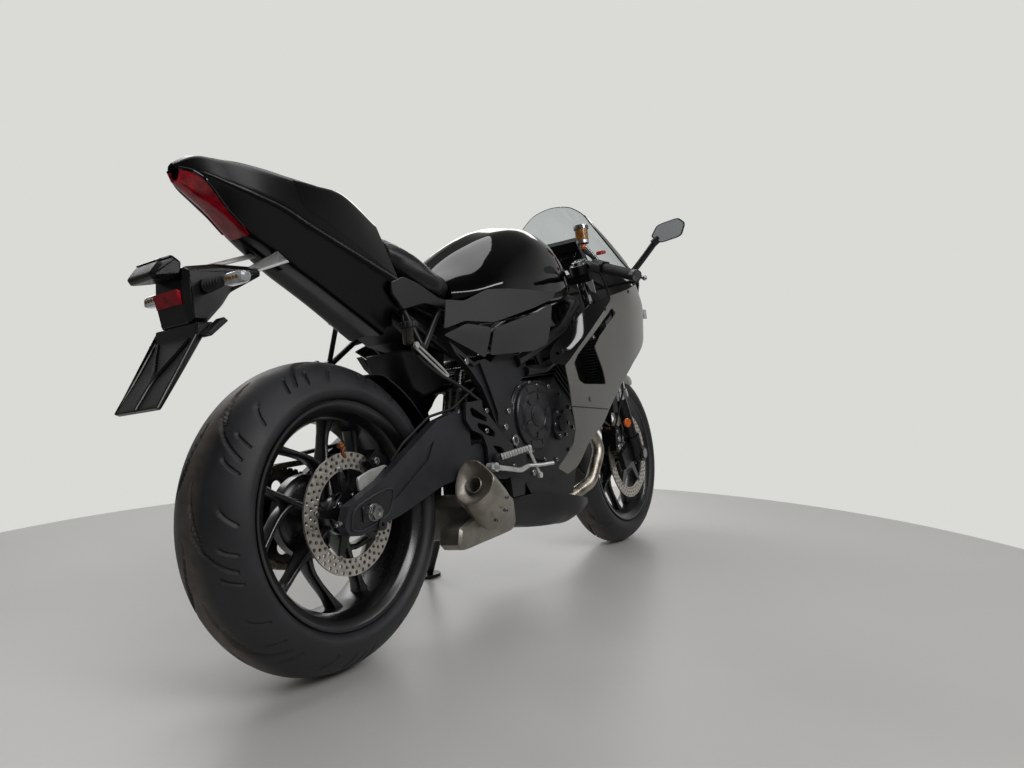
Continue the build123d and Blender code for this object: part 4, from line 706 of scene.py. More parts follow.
TAIL = [
    (-276, [(0, 988), (9, 984), (13, 972), (9, 957), (0, 956)]),
    (-245, [(0, 1008), (24, 1001), (42, 966), (12, 939), (0, 938)]),
    (-200, [(0, 1014), (38, 1002), (64, 948), (18, 914), (0, 913)]),
    (-150, [(0, 1018), (46, 1003), (82, 930), (28, 876), (0, 876)]),
    (-100, [(0, 1019), (52, 1000), (92, 913), (36, 846), (0, 848)]),
    (-50, [(0, 1018), (58, 994), (99, 888), (41, 816), (0, 820)]),
    (20, [(0, 1016), (60, 990), (104, 860), (44, 779), (0, 784)]),
    (100, [(0, 1010), (56, 988), (108, 830), (48, 734), (0, 740)]),
    (186, [(0, 966), (60, 938), (114, 796), (52, 684), (0, 692)]),
]
COWL_X = -45.0


def strip(table, x0, x1, top, low, nx=40, nv=22, soft=0.08):
    """Left half of a lofted form between two heights: each row is cut where it passes top(x) and
    low(x), and its points are spaced evenly between."""
    p = lofted(table, nx, soft, 4, 4, x0=x0, x1=x1)
    out = []
    for row in p:
        s = np.r_[0, np.cumsum(np.linalg.norm(np.diff(row, axis=0), axis=1))]
        fall = np.maximum.accumulate(-row[:, 2] + np.arange(len(row)) * 1e-6)
        a = np.interp(-top(row[0, 0]), fall, s)
        b = np.interp(-low(row[0, 0]), fall, s)
        out.append(np.stack([np.interp(np.linspace(a, b, nv), s, row[:, k]) for k in range(3)], -1))
    return np.array(out)


def over(half):
    """Both halves of a strip that starts on the centre line, as one grid."""
    return np.concatenate([half[:, :0:-1] * (1, -1, 1), half], 1)


def under(half):
    """Both halves of a strip that ends on the centre line, as one grid."""
    return np.concatenate([half, half[:, -2::-1] * (1, -1, 1)], 1)


def cowl_low(x):
    """Height of the cowl's lower edge along the tail."""
    return np.interp(x, [-64, 17, 88, 145, 220], [940, 900, 862, 826, 790])


def lens_top(x):
    """Height of the tail lens's upper edge along the tail."""
    return np.interp(x, [-276, -269, -250, -216, -179, -140], [978, 975, 969, 941, 907, 873])


def crest(x):
    """A height above all of the tail, so a strip starts on its centre line."""
    return 2000.0


def keel(x):
    """A height below all of the tail, so a strip ends on its centre line."""
    return 0.0


def make_tail(m, size):
    """Cowl, panels and lens are strips of one lofted form, cut by edge heights over x and given a wall.
    Facets of the lamp bowl: the half width is scaled by a triangle wave of x that repeats every 18 mm."""
    wall = size.panel_wall * 1000.0
    cowl = grid(over(strip(TAIL, COWL_X, 186, crest, cowl_low, 50)))
    piece("seat_cowl_shell", shell(cowl, wall), "chassis", m["gloss_black"],
          ["seat_cowl"], crease=60)
    parts = [shell(grid(over(strip(TAIL, -276, -140, crest, lens_top, 30))), wall),
             shell(grid(over(strip(TAIL, -140, COWL_X - 1, crest, keel, 24, 30))), wall),
             shell(grid(under(strip(TAIL, COWL_X - 1, 186, lambda x: cowl_low(x) - 1.0, keel, 50))), wall)]
    piece("tail_panels", join(parts), "chassis", m["panel_black"], ["tail_body"], crease=60)
    lens = under(strip(TAIL, -272, -141, lambda x: lens_top(x) - 1.2, keel, 24, 14, 0.2))
    piece("tail_lens", shell(grid(lens * (1, 0.985, 1)), 5.0), "chassis", m["lamp_red"],
          ["tail_light"])
    # plain panels that close the frame under the seat, between the tail and the tank cover
    side = [(156, 768), (158, 792), (200, 808), (250, 797), (320, 769), (358, 765), (340, 746), (264, 752),
            (190, 733)]
    piece("seat_side_covers", mirrored(slab(side, 108, 116, 1.5, 0.12)), "chassis", m["trim_black"])
    rims = [tube(list(edge[::3] + (0, 0, 1.0)), 3.0, 10) for edge in (lens[:, 0], lens[:, -1])]
    piece("tail_lens_bezel", join(rims), "chassis", m["gloss_black"])
    bowl = under(strip(TAIL, -262, -146, lambda x: lens_top(x) - 9.0, keel, 46, 12, 0.1))
    wave = 1.0 - 0.05 * np.abs(((bowl[..., 0] / 9.0) % 2.0) - 1.0)
    bowl[..., 1] *= wave * 0.86
    piece("tail_lamp_facets", shell(grid(bowl + (4.0, 0, 2.0)), 2.0), "chassis", m["lamp_bowl"])


def make_tank(m, size):
    """Tank: rounded rows lofted along x and closed at both ends. Filler: profiles turned about an
    upright line, with six screws on a circle."""
    p = lofted(TANK, 64, 0.42, 5, 2, closed=True)
    piece("fuel_tank_shell", grid(p, close_v=True, caps=True), "chassis", m["gloss_black"],
          ["fuel_tank"], crease=40)
    lid = turned([(0.5, 9), (20, 9), (24, 7), (26, 4), (33, 3.5), (34, 1), (34, -13), (0.5, -13)],
                 (830, 0, 1026), (0, 0, 1), 64)
    lock = turned([(7, 0), (7, 3), (6, 4), (0.5, 4)], (830, 0, 1034), (0, 0, 1), 24)
    piece("filler_cap", join([lid, lock]), "chassis", m["bright_steel"], ["tank_cap"])
    t = np.arange(6) * np.pi / 3
    screws = bolts(xyz(830 + 29 * np.cos(t), 29 * np.sin(t), 1029.4), (0, 0, 1), 3.4, 1.6)
    piece("filler_screws", screws, "chassis", m["trim_black"])


def make_seat(m, size):
    """Vinyl pad over foam. The closed form is drawn in a little and raised by a bell curve over x,
    then remeshed and blown up as cloth, with each point's move held to the swell."""
    p = lofted(SEAT, 30, 0.3, 5, 2, closed=True)
    mid = p.mean((0, 1))
    p = mid + (p - mid) * (0.975, 0.965, 0.96)
    crown, crown_x, crown_reach = 10.0, 255.0, 60.0
    p[..., 2] += crown * np.exp(-((p[..., 0] - crown_x) / crown_reach) ** 2) * (p[..., 2] > mid[2])
    seat = piece("seat_pad", grid(p, close_v=True, caps=True), "chassis", m["vinyl"], ["rider_seat"])
    bpy.context.view_layer.objects.active = seat
    for o in bpy.context.selected_objects:
        o.select_set(False)
    seat.select_set(True)
    seat.data.remesh_voxel_size = 0.006
    bpy.ops.object.voxel_remesh()
    rest = np.empty(len(seat.data.vertices) * 3)
    seat.data.vertices.foreach_get("co", rest)
    rest = rest.reshape(-1, 3)
    frames = 20
    cloth = seat.modifiers.new("Cloth", "CLOTH")
    cloth.settings.use_pressure = True
    cloth.settings.uniform_pressure_force = 4.0
    cloth.settings.effector_weights.gravity = 0.0
    for f in range(1, frames + 1):
        bpy.context.scene.frame_set(f)
    dg = bpy.context.evaluated_depsgraph_get()
    soft = seat.evaluated_get(dg).to_mesh()
    moved = np.empty(len(soft.vertices) * 3)
    soft.vertices.foreach_get("co", moved)
    move = moved.reshape(-1, 3) - rest
    far = np.linalg.norm(move, axis=1, keepdims=True)
    rest = rest + move * np.minimum(1.0, size.seat_swell / np.maximum(far, 1e-9))
    seat.modifiers.remove(cloth)
    bpy.context.scene.frame_set(1)
    seat.data.vertices.foreach_set("co", rest.reshape(-1))
    smooth = seat.modifiers.new("Smooth", "SMOOTH")
    smooth.factor, smooth.iterations = 0.5, 6
    seat.data.shade_smooth()
    seat.data.update()


# ------------------------------------------------------------ bodywork
COVER = [
    (280, [(122, 775), (134, 745), (140, 700), (138, 640)]),
    (400, [(136, 800), (146, 752), (156, 690), (152, 610)]),
    (560, [(156, 840), (162, 790), (172, 710), (172, 600)]),
    (720, [(164, 850), (172, 800), (182, 720), (184, 600)]),
    (840, [(164, 850), (174, 800), (186, 720), (188, 600)]),
]
COVER_EDGES = {
    "upper": [(322, 762), (386, 762), (476, 796), (563, 804), (776, 812), (800, 812), (770, 790), (659, 757),
              (475, 711), (372, 712), (293, 690)],
    "lower": [(292, 676), (374, 705), (462, 698), (430, 622), (360, 650)],
    "middle": [(472, 696), (677, 748), (760, 776), (700, 660), (630, 640), (447, 628)],
}
FAIR = [
    (690, [(146, 700), (172, 640), (190, 540), (192, 440), (178, 340), (140, 250)]),
    (780, [(160, 720), (188, 640), (202, 540), (204, 430), (188, 330), (140, 235)]),
    (900, [(185, 790), (208, 680), (214, 560), (210, 430), (190, 320), (140, 210)]),
    (1050, [(206, 850), (228, 740), (224, 600), (212, 450), (190, 330), (140, 220)]),
    (1200, [(215, 890), (235, 790), (226, 660), (206, 510), (180, 380), (140, 290)]),
    (1330, [(192, 905), (212, 806), (202, 690), (186, 570), (165, 460), (140, 380)]),
    (1450, [(146, 890), (165, 800), (154, 720), (140, 640), (120, 590), (100, 560)]),
]
SIDE_EDGE = [(1071, 815), (1200, 846), (1330, 880), (1398, 876), (1398, 716), (1300, 664), (1179, 607),
             (1076, 542),
             (977, 467), (934, 427), (841, 374), (789, 314), (754, 300), (700, 322), (762, 381), (770, 418),
             (764, 488), (767, 570), (769, 599), (800, 618), (1063, 800)]
WINDOW = [(836, 630), (1058, 776), (1072, 758), (966, 688), (925, 651), (953, 583), (965, 540), (840, 544),
          (817, 556), (812, 606)]
INTAKE_EDGE = [(1069.6, 815.4), (960, 788), (722, 643), (704, 610), (768.2, 599.4), (799.6, 618.6),
               (1062.4, 800.6)]
NOSE = [
    (1300, arch([(0, 1000), (110, 980), (194, 900), (216, 806), (203, 700)])),
    (1400, arch([(0, 975), (88, 955), (160, 886), (185, 800), (170, 706)])),
    (1500, arch([(0, 940), (68, 920), (112, 866), (132, 795), (118, 722)])),
    (1590, arch([(0, 896), (48, 882), (72, 838), (80, 785), (66, 740)])),
    (1650, arch([(0, 835), (25, 828), (38, 800), (40, 778), (30, 760)])),
]
SCREEN = [
    (1150, arch([(0, 1160), (70, 1148), (118, 1112), (140, 1076)])),
    (1250, arch([(0, 1112), (92, 1090), (158, 1022), (190, 950)])),
    (1350, arch([(0, 1040), (98, 1016), (170, 946), (200, 896)])),
    (1440, arch([(0, 972), (76, 950), (140, 892), (160, 864)])),
]


def tray(x, side_y, top_z, low_z, flat_y):
    """One row of the belly pan: a flat bottom, a slanted corner and an upright side, on both sides."""
    half = [(0, low_z), (flat_y, low_z), (side_y, low_z + 28), (side_y, top_z)]
    return (x, [(y, z) for y, z in half[::-1]] + [(-y, z) for y, z in half[1:]])


BELLY = [tray(506, 118, 266, 208, 84), tray(640, 130, 264, 178, 100), tray(760, 146, 246, 164, 108),
         tray(850, 150, 226, 158, 96), tray(905, 140, 214, 170, 80)]


def make_bodywork(m, size):
    """Side panels: square cells inside a side outline, lifted to y(x, z). Nose, screen and belly:
    rounded rows lofted along x. Mudguard: a crowned band turned about the front axle. Each gets a
    wall along its normals."""
    wall = size.panel_wall * 1000.0
    fair, cover = side_of(FAIR, 13.0), side_of(COVER, 8.0)
    side = shell(sheet(SIDE_EDGE, fair, 6.0, [WINDOW], 0.1), wall)
    for name, y in (("right", 1), ("left", -1)):
        pegs = [turned([(8, 0), (8, 60), (0.5, 60), (0.5, 0)], (x, -y * inner, z), (0, -y, 0), 20)
                for x, z, inner in ((862, 500, 150), (1088, 640, 164))]
        panel = (side[0] * (1, y, 1), side[1])
        piece("side_fairing_" + name + "_panel", panel, "chassis", m["body_grey"],
              ["side_fairing_" + name], crease=50)
        piece("side_fairing_" + name + "_stays", join(pegs), "chassis", m["frame_black"])
    intake = shell(sheet(INTAKE_EDGE, fair, 6.0, (), 0.15), wall)
    piece("intake_side_panels", mirrored(intake), "chassis", m["gloss_black"],
          ["intake_panels"], crease=50)
    covers = join([shell(sheet(e, cover, 6.0, (), 0.12), wall) for e in COVER_EDGES.values()])
    piece("side_cover_panels", mirrored(covers), "chassis", m["charcoal"], ["tank_covers"],
          crease=50)
    nose = lofted(NOSE, 60, 0.3, 5, 2, x0=1398.5)
    piece("nose_shell", shell(grid(nose), wall), "chassis", m["body_grey"], ["nose_fairing"],
          crease=45)
    glass = lofted(SCREEN, 50, 0.4, 5, 2)
    piece("screen_sheet", shell(grid(glass), wall), "chassis", m["screen"], ["windscreen"],
          crease=60)
    bands = [glass[:, :5] + (0, -1.4, 1.0), glass[:, -5:] + (0, 1.4, 1.0)]
    piece("screen_frame", join([shell(grid(q), 4.0) for q in bands]), "chassis", m["gloss_black"])
    # the seam between the upper and the lower side panel, a dark bead along the skin
    k = np.linspace(0, 1, 16)
    seam_x, seam_z = 752 + 212 * k, 485 - 19 * k
    seam = [tube(list(xyz(seam_x, s * (np.abs(fair(seam_x, seam_z)) + 0.3), seam_z)), 1.5,
                 8) for s in (-1, 1)]
    piece("fairing_seams", join(seam), "chassis", m["trim_black"])
    belly = lofted(BELLY, 40, 0.2, 4, 2)
    piece("belly_tray", shell(grid(belly), -wall), "chassis", m["trim_black"], ["belly_pan"],
          crease=45)
    # front mudguard: half its section as (radius, y), narrowed towards its nose by a square law
    half = [(317, 0), (316, 14), (311, 38), (300, 56), (288, 69), (262, 77), (250, 79)]
    section = np.array([(r, -y) for r, y in half[::-1]] + half[1:], float)
    t = np.radians(np.linspace(152, 64, 60))[:, None]
    taper = 1.0 - 0.5 * np.clip((np.radians(78) - t) / np.radians(14), 0, 1) ** 2
    r = 317 - (317 - section[:, 0]) * taper
    p = xyz(r * np.cos(t), section[:, 1] * (0.55 + 0.45 * taper), r * np.sin(t)) + FRONT
    legs = mirrored(slab([(1262, 560), (1330, 560), (1392, 470), (1402, 350), (1386, 350), (1366, 460),
                          (1240, 470)],
                         -82, -78, 1.0))
    piece("front_mudguard", join([shell(grid(p), wall), legs]), "steering", m["body_grey"],
          ["front_fender"], crease=45)


# ------------------------------------------------------------ exhaust and engine dressing
def make_exhaust(m, size):
    """Tip: rings square to the outlet line, each the mouth outline times a scale plus a circle of a
    radius, moved left and up, run out over the lip and back in to the pipe.
    Box: chamfered slabs of the chamber's side outline."""
    inlet, outlet = np.array((470.0, -168, 240)), np.array((272.0, -196, 323))
    d = (outlet - inlet) / np.linalg.norm(outlet - inlet)
    side = np.cross(d, (0, 0, 1.0))
    side /= np.linalg.norm(side)
    up = np.cross(side, d)
    mouth = rounded([(32, 67), (-2, 66), (-49, 26), (-40, -12), (-10, -37), (20, -39), (47, -20), (51, 14),
                     (46, 46)],
                    0.32, 6, 2, loop=True) - (0, 14)
    sign = np.sign((mouth[:, 0] * np.roll(mouth[:, 1], -1) - mouth[:, 1] * np.roll(mouth[:, 0], -1)).sum())
    first = math.atan2(mouth[0, 1], mouth[0, 0])
    t = first + sign * np.linspace(0, 2 * np.pi, len(mouth), endpoint=False)
    circle = np.stack([np.cos(t), np.sin(t)], -1)
    rings = [(108, 0.74, 0, -4, -30), (98, 0.98, 0, -4, -32), (60, 1.04, 0, -3, -19), (24, 1.03, 0, -1, -7),
             (4, 1.02, 0, 0, -1), (0.5, 1.0, 0, 0, 0), (-1.5, 0.96, 0, 0, 0), (-1.0, 0.91, 0, 0, 0),
             (3, 0.86, 0, 1, 0), (12, 0.592, 7.2, 3, 0), (20, 0, 22.5, 10, -1), (22, 0, 19.5, 10, -1),
             (12, 0, 19, 10, -1), (11, 0, 17.8, 10, -1), (13, 0, 16.8, 10, -1), (60, 0, 16.5, 10, -1)]
    p = []
    for inward, scale, radius, left, high in rings:
        q = mouth * scale + circle * radius + (left, 14 + high)
        p.append(outlet - d * inward + q[:, :1] * side + q[:, 1:] * up)
    piece("silencer_tip", grid(np.array(p), close_v=True, caps=True), "chassis", m["silencer_steel"],
          ["exhaust_silencer"], crease=40)
    flange = turned([(0.5, 0), (21, 0), (24, 3), (24, 44), (19, 48), (0.5, 48)], (392, -150, 268),
                    (0.78, 0.15, -0.35), 48)
    piece("silencer_collar", flange, "chassis", m["header_steel"])
    chamber = [(246, 204), (262, 187), (470, 197), (487, 214), (487, 275), (440, 295), (330, 261), (257, 238)]
    box = join([slab(chamber, -159, -97, 6, 0.18, 6),
                slab([(353, 191), (470, 197), (487, 214), (487, 275), (440, 295), (361, 271)], -99, 69, 6,
                     0.15, 6)])
    piece("silencer_box", box, "chassis", m["silencer_steel"], crease=40)
    spots = [outlet - d * 60 + side * u + up * v for u, v in ((-47, -6), (-47, -36), (-24, -58))]
    piece("tip_rivets", bolts(spots, (-0.3, -0.95, -0.1), 4.5, 9), "chassis", m["bright_steel"])
    welds = [tube([(487, y, 216), (489, y, 240), (487, y, 274)], 2.2, 8) for y in (-150, -104)]
    piece("silencer_welds", join(welds), "chassis", m["header_steel"])


CLUTCH = np.array((646.0, -122.0, 469.0))


def make_bolts(m, size):
    """Socket heads and nuts where parts are held, one mesh for each material."""
    right = (([(360, -145, 614), (521, -145, 489), (488, -153, 450)], 8, 5),
             ([(534, -145, 413)], 15, 8),
             ([(410, -153, 494), (402, -153, 446), (508, -153, 350)], 6.5, 5),
             ([(612, -145, 322)], 9, 5))
    left = (([(360, 145, 614), (521, 145, 489)], 8, 5),
            ([(345, 153, 500), (386, 153, 470), (436, 153, 408)], 6, 5))
    silver = [bolts(rows, (0, -1, 0), r, h) for rows, r, h in right]
    silver += [bolts(rows, (0, 1, 0), r, h) for rows, r, h in left]
    piece("frame_bolts", join(silver), "chassis", m["bright_steel"])
    cover = [bolts(ring_of(CLUTCH - (0, 12, 0), 0, 91, 10, 0.2), (0, -1, 0), 5.5, 5),
             bolts(ring_of((800, -142, 440), 0, 38, 6), (0, -1, 0), 5, 4)]
    edge = [(600, -132, 545), (640, -132, 556), (700, -132, 552), (760, -132, 548), (820, -132, 522),
            (872, -132, 484), (884, -132, 424), (846, -132, 362), (764, -132, 342), (700, -132, 350)]
    cover.append(bolts(edge, (0, -1, 0), 6, 5))
    cover += [bolts(ring_of((800, 144, 440), 0, 77, 9), (0, 1, 0), 5.5, 5),
              bolts([(612, 136, 350), (690, 136, 340), (690, 136, 470), (616, 136, 462)], (0, 1, 0), 5.5, 5)]
    piece("engine_cover_bolts", join(cover), "chassis", m["bright_steel"])
    screws = [bolts([(x, s * y, z)], (0, s, 0), 6, 2.5)
              for x, y, z in ((1020, 216, 770), (760, 192, 640), (1190, 226, 836)) for s in (1, -1)]
    piece("panel_screws", join(screws), "chassis", m["trim_black"])


def make_clutch(m, size):
    """Raised rings and ribs turned about the clutch's line, over the casting."""
    rings = turned([(97, 10), (97, 13), (95, 15), (90, 15), (88, 17), (87, 26), (84, 29), (66, 30), (64, 33),
                    (62, 36), (40, 37), (38, 35), (30, 35), (28, 38), (26, 39), (0.5, 39)], CLUTCH,
                   (0, -1, 0), 96)
    piece("clutch_cover_rings", rings, "chassis", m["cover_grey"], crease=28)
    t = np.arange(6) * np.pi / 3 + 0.3
    pads = [tube([CLUTCH + (44 * math.cos(a), -38, 44 * math.sin(a)),
                  CLUTCH + (60 * math.cos(a), -37, 60 * math.sin(a))], 3.0, 8) for a in t]
    piece("clutch_cover_ribs", join(pads), "chassis", m["cover_grey"])


def make_radiator(m, size):
    """Both faces of the core as a sine fold: the depth times the sine of the height, repeating every
    pitch. Real folds are finer; they are drawn 9 mm apart so that they show."""
    front_x, back_x, half_width, depth, pitch = 1100.5, 1075.0, 148.0, 1.6, 9.0
    z = np.linspace(462, 690, 240)
    y = np.linspace(-half_width, half_width, 30)[:, None]
    wave = depth * np.sin(z * 2 * np.pi / pitch)
    for name, x, wall in (("radiator_fins", front_x + wave, -1.0),
                          ("radiator_back_fins", back_x - wave, 1.0)):
        piece(name, shell(grid(xyz(x, y, z)), wall), "chassis", m["radiator_black"])


def make_brakes(m, size):
    """Pad edges as chamfered slabs, caliper caps and bolts as turned heads, the rear bleeder as a
    circle carried along a bent line."""
    pad = [(1252, 402), (1262, 388), (1282, 366), (1290, 375), (1268, 404)]
    cap = [(0.5, 5), (8, 5), (9, 4), (11, 4), (11.5, 0), (0.5, 0)]
    pads, studs = [], []
    for s in (-1, 1):
        pads += [slab(pad, s * y, s * (y + 3.5), 0.6) for y in (60, 70)]
        studs.append(bolts([(1262, s * 96, 388), (1288, s * 96, 340)], (0, s, 0), 6, 4))
        studs += [turned(cap, (x, s * 96, z), (0, s, 0), 36) for x, z in ((1270, 362), (1264, 336))]
    piece("front_pads", join(pads), "steering", m["copper"])
    piece("front_caliper_bolts", join(studs), "steering", m["bright_steel"])
    piece("rear_caliper_bolts", bolts([(62, -104, 412), (100, -104, 380)], (0, -1, 0), 8, 6), "chassis",
          m["bright_steel"])
    # bleeder nipple with its bent tether, behind and above the disc
    nipple = [tube([(-40, -112, 456), (-33, -113, 447), (-38, -112, 437), (-30, -112, 428)], 3.6),
              turned([(0.5, 9), (4, 9), (5, 6), (7, 5), (7, 0), (0.5, 0)], (-40, -112, 450),
                     (-0.4, -0.5, 0.8), 24)]
    arm = slab([(3, 356), (1, 384), (40, 396), (87, 402), (103, 384), (51, 362)], -110, -103, 1.2, 0.2)
    piece("rear_caliper_arm", arm, "chassis", m["pale_strap"])
    piece("rear_bleeder", join(nipple), "chassis", m["copper"])


def make_axle_ends(m, size):
    """Axle blocks in the arm's slots with their nuts, washers and chain adjusters, and the flap
    ahead of the rear tyre: a crowned section turned through 50 degrees about the axle."""
    blocks, silver, frames = [], [], []
    slot = ((-62, 292), (-54, 330), (34, 355), (66, 354), (62, 330), (42, 300), (-40, 283), (-62, 292))
    for s in (-1, 1):
        blocks.append(slab([(-30, 299), (26, 299), (26, 331), (-30, 331)], s * 141, s * 145.5, 2.0, 0.2))
        blocks.append(turned([(0.5, 63), (15, 63), (15, 141), (0.5, 141)], REAR, (0, s, 0), 32))
        blocks.append(slab([(-60, 296), (-52, 328), (36, 352), (62, 350), (58, 330), (40, 304), (-40, 286)],
                           s * 140.6, s * 141.4, 0.3, 0.2))
        silver.append(turned([(0.5, 145), (17, 145), (18, 146), (17, 148), (10, 148), (0.5, 148)], REAR,
                             (0, s, 0), 32))
        silver.append(turned([(0.5, 148), (14.5, 148), (15.5, 149.5), (15.5, 155), (14, 157), (8, 157),
                              (8, 154), (0.5, 154)], REAR, (0, s, 0), 6))
        adjuster, back = (-76, s * 130, 306), (-1, 0, -0.12)
        silver.append(turned([(0.5, 0), (4, 0), (4, 18), (0.5, 18)], adjuster, back, 16))
        silver.append(turned([(0.5, 4), (7.5, 4), (7.5, 10), (0.5, 10)], adjuster, back, 6))
        frames.append(tube([(x, s * 141.5, z) for x, z in slot], 2.4, 10))
    piece("axle_blocks", join(blocks), "chassis", m["rim_black"], ["rear_axle"], crease=40)
    piece("axle_nuts", join(silver), "chassis", m["bright_steel"], crease=25)
    piece("arm_slot_frames", join(frames), "chassis", m["swingarm_grey"])
    line = np.array([(302, -90), (322, -60), (327, -30), (328, 0), (327, 30), (322, 60), (302, 90)], float)
    line = rounded(line, 0.3, 5, 2)
    t = np.radians(np.linspace(10, 60, 40))[:, None]
    p = xyz(line[:, 0] * np.cos(t), line[:, 1], line[:, 0] * np.sin(t)) + REAR
    guard = [slab([(60, 446), (210, 460), (330, 482), (330, 475), (210, 452), (60, 438)], 96, 117, 1.0),
             slab([(206, 454), (250, 460), (250, 484), (206, 476)], 94, 119, 1.0),
             slab([(234, 652), (250, 604), (268, 556), (300, 540), (384, 566), (404, 652)], -58, 58, 6.0,
                  0.15)]
    piece("rear_flap", join([shell(grid(p), 3.0)] + guard), "chassis", m["trim_black"],
          ["rear_hugger"], crease=45)


# ------------------------------------------------------------ cockpit and lamps
def knurl(depth):
    """Square wave of the angle, 12 waves round: the radius is scaled by 1 + depth and 1 - depth in turn."""
    return lambda t: 1.0 + depth * np.sign(np.sin(12 * t))


def make_cockpit(m, size):
    """Reservoir, caps, grips and bar ends: profiles turned about their own lines. The grip's radius
    is a square wave along the bar. Switch housings: a chamfered outline laid along the bar."""
    res = (1084.0, -136.0, 998.0)
    cap = turned([(0.5, 58), (19, 58), (22, 56), (23, 54), (23, 46), (0.5, 46)], res, (0, 0, 1), 96,
                 wave=knurl(0.035))
    piece("brake_reservoir_cap", cap, "steering", m["trim_black"])
    body = turned([(0.5, 45.5), (20.3, 45.5), (20.6, 24), (19.8, 6), (12, 1), (0.5, 0.5)], res, (0, 0, 1), 48)
    piece("brake_reservoir_body", body, "steering", m["amber"])
    nut = turned([(0.5, -1), (7, -2), (9.5, -7), (9.5, -12), (7, -18), (0.5, -19)], res, (0, 0, 1), 24)
    piece("reservoir_fitting", nut, "steering", m["orange"])
    hose = tube([(1084, -136, 988), (1086, -138, 970), (1104, -146, 962), (1122, -150, 950)], 4.5)
    piece("reservoir_hose", hose, "steering", m["rubber"])
    rings = [turned([(27.2, 0), (31, 0), (32, 1), (32, 18), (31, 19), (27.2, 19)], steer(32, s * 105, 996),
                    (-SR, 0, CR), 48) for s in (-1, 1)]
    caps = [turned([(0.5, 8), (12, 8), (14, 6), (22, 5), (24, 3), (24, 0), (0.5, 0)],
                   steer(32, s * 105, 1020), (-SR, 0, CR), 48) for s in (-1, 1)]
    nut = turned([(0.5, 14), (10, 14), (13, 12), (18, 12), (20, 10), (20, 0), (0.5, 0)], steer(0, 0, 994),
                 (-SR, 0, CR), 6)
    piece("fork_top_caps", join(rings + caps), "steering", m["bright_steel"])
    piece("stem_nut", nut, "steering", m["bright_steel"])
    inner, outer = np.array((1108.0, 132, 936)), np.array((1010.0, 330, 850))
    length = np.linalg.norm(outer - inner)
    d = (outer - inner) / length
    k = np.linspace(0, 1, 90)
    ridge = 16.2 + 0.9 * np.sign(np.sin(k * 2 * np.pi * 22))
    ridge[0] = ridge[-1] = 14.0
    left = turned(np.stack([ridge, length - 140 + k * 126], -1), inner, d, 40)
    ends = turned([(0.5, length + 8), (15, length + 8), (18, length + 5), (18, length - 9), (16, length - 12),
                   (0.5, length - 12)], inner, d, 32)
    piece("grip_sleeves", mirrored(left), "steering", m["rubber"])
    piece("bar_end_weights", mirrored(ends), "steering", m["bright_steel"])
    flip = np.array((1, -1, 1))
    at = inner + d * (length - 168)
    v, faces = slab([(-22, -17), (20, -19), (24, 12), (10, 22), (-18, 20)], -24, 24, 3.0, 0.25)
    a, b, _ = basis(d)
    switch = (at + v[:, :1] * a + v[:, 1:2] * d + v[:, 2:] * b, faces)
    piece("switch_housings", mirrored(switch), "steering", m["trim_black"])
    stop = slab([(1086, 952), (1122, 959), (1121, 969), (1090, 965)], -196, -176, 2.0, 0.2)
    piece("stop_switch_cap", stop, "steering", m["signal_red"])
    knob = turned([(0.5, 29), (5, 29), (6.5, 27), (6.5, 18), (0.5, 18)], (at + d * 4) * flip, -a * flip, 24)
    piece("stop_switch", knob, "steering", m["signal_red"])
    # dash glass: a chamfered sheet, tilted 40 degrees to face the rider
    v, faces = slab([(-46, -66), (46, -66), (46, 66), (-46, 66)], 0, 5, 2.0, 0.12)
    tilt = math.radians(-40)
    cx, cz = math.cos(tilt), math.sin(tilt)
    p = xyz(1200 - (15 + v[:, 1]) * cx - v[:, 0] * cz, v[:, 2], 1000 - (15 + v[:, 1]) * cz + v[:, 0] * cx)
    piece("dash_glass", (p, faces), "chassis", m["dash_glass"])


def make_mirrors(m, size):
    """Shell: a six-sided outline carried forward, its scale the square root of 1 - depth to the 2.4.
    Stalk: circles carried along a bent line."""
    mid_y, mid_z = 340, 1028
    o = rounded([(-60, -6), (-34, 28), (40, 36), (62, 14), (44, -26), (-30, -34)], 0.25, 5, 1, loop=True)
    shells, glass = [], []
    for s in (-1, 1):
        rings = []
        for k in np.linspace(0, 1, 12):
            q = o * math.sqrt(1 - (k * 0.985) ** 2.4)
            rings.append(xyz(np.full(len(q), 1309 + 27 * k), s * (mid_y + q[:, 0]), mid_z + q[:, 1]))
        lip = o * 0.93
        rings.insert(0, xyz(np.full(len(lip), 1311.0), s * (mid_y + lip[:, 0]), mid_z + lip[:, 1]))
        shells.append(grid(np.array(rings), close_v=True, caps=True))
        g = o * 0.92
        faces = [xyz(np.full(len(g), x), s * (mid_y + g[:, 0]), mid_z + g[:, 1]) for x in (1310.6, 1309.0)]
        glass.append(grid(np.array(faces), close_v=True, caps=True))
        shells.append(tube([(1306, s * 192, 908), (1316, s * 236, 952), (1318, s * 292, 1006)], 10.5))
        shells.append(tube([(1314, s * 282, 998), (1320, s * 304, 1014)], 13))
        shells.append(turned([(0.5, 0), (15, 0), (17, 3), (14, 14), (9, 18), (0.5, 18)], (1308, s * 194, 908),
                             (0.3, s * 0.5, 0.8), 28))
    piece("mirror_shells", join(shells), "chassis", m["trim_black"], ["mirrors"], crease=45)
    piece("mirror_glass", join(glass), "chassis", m["mirror"])


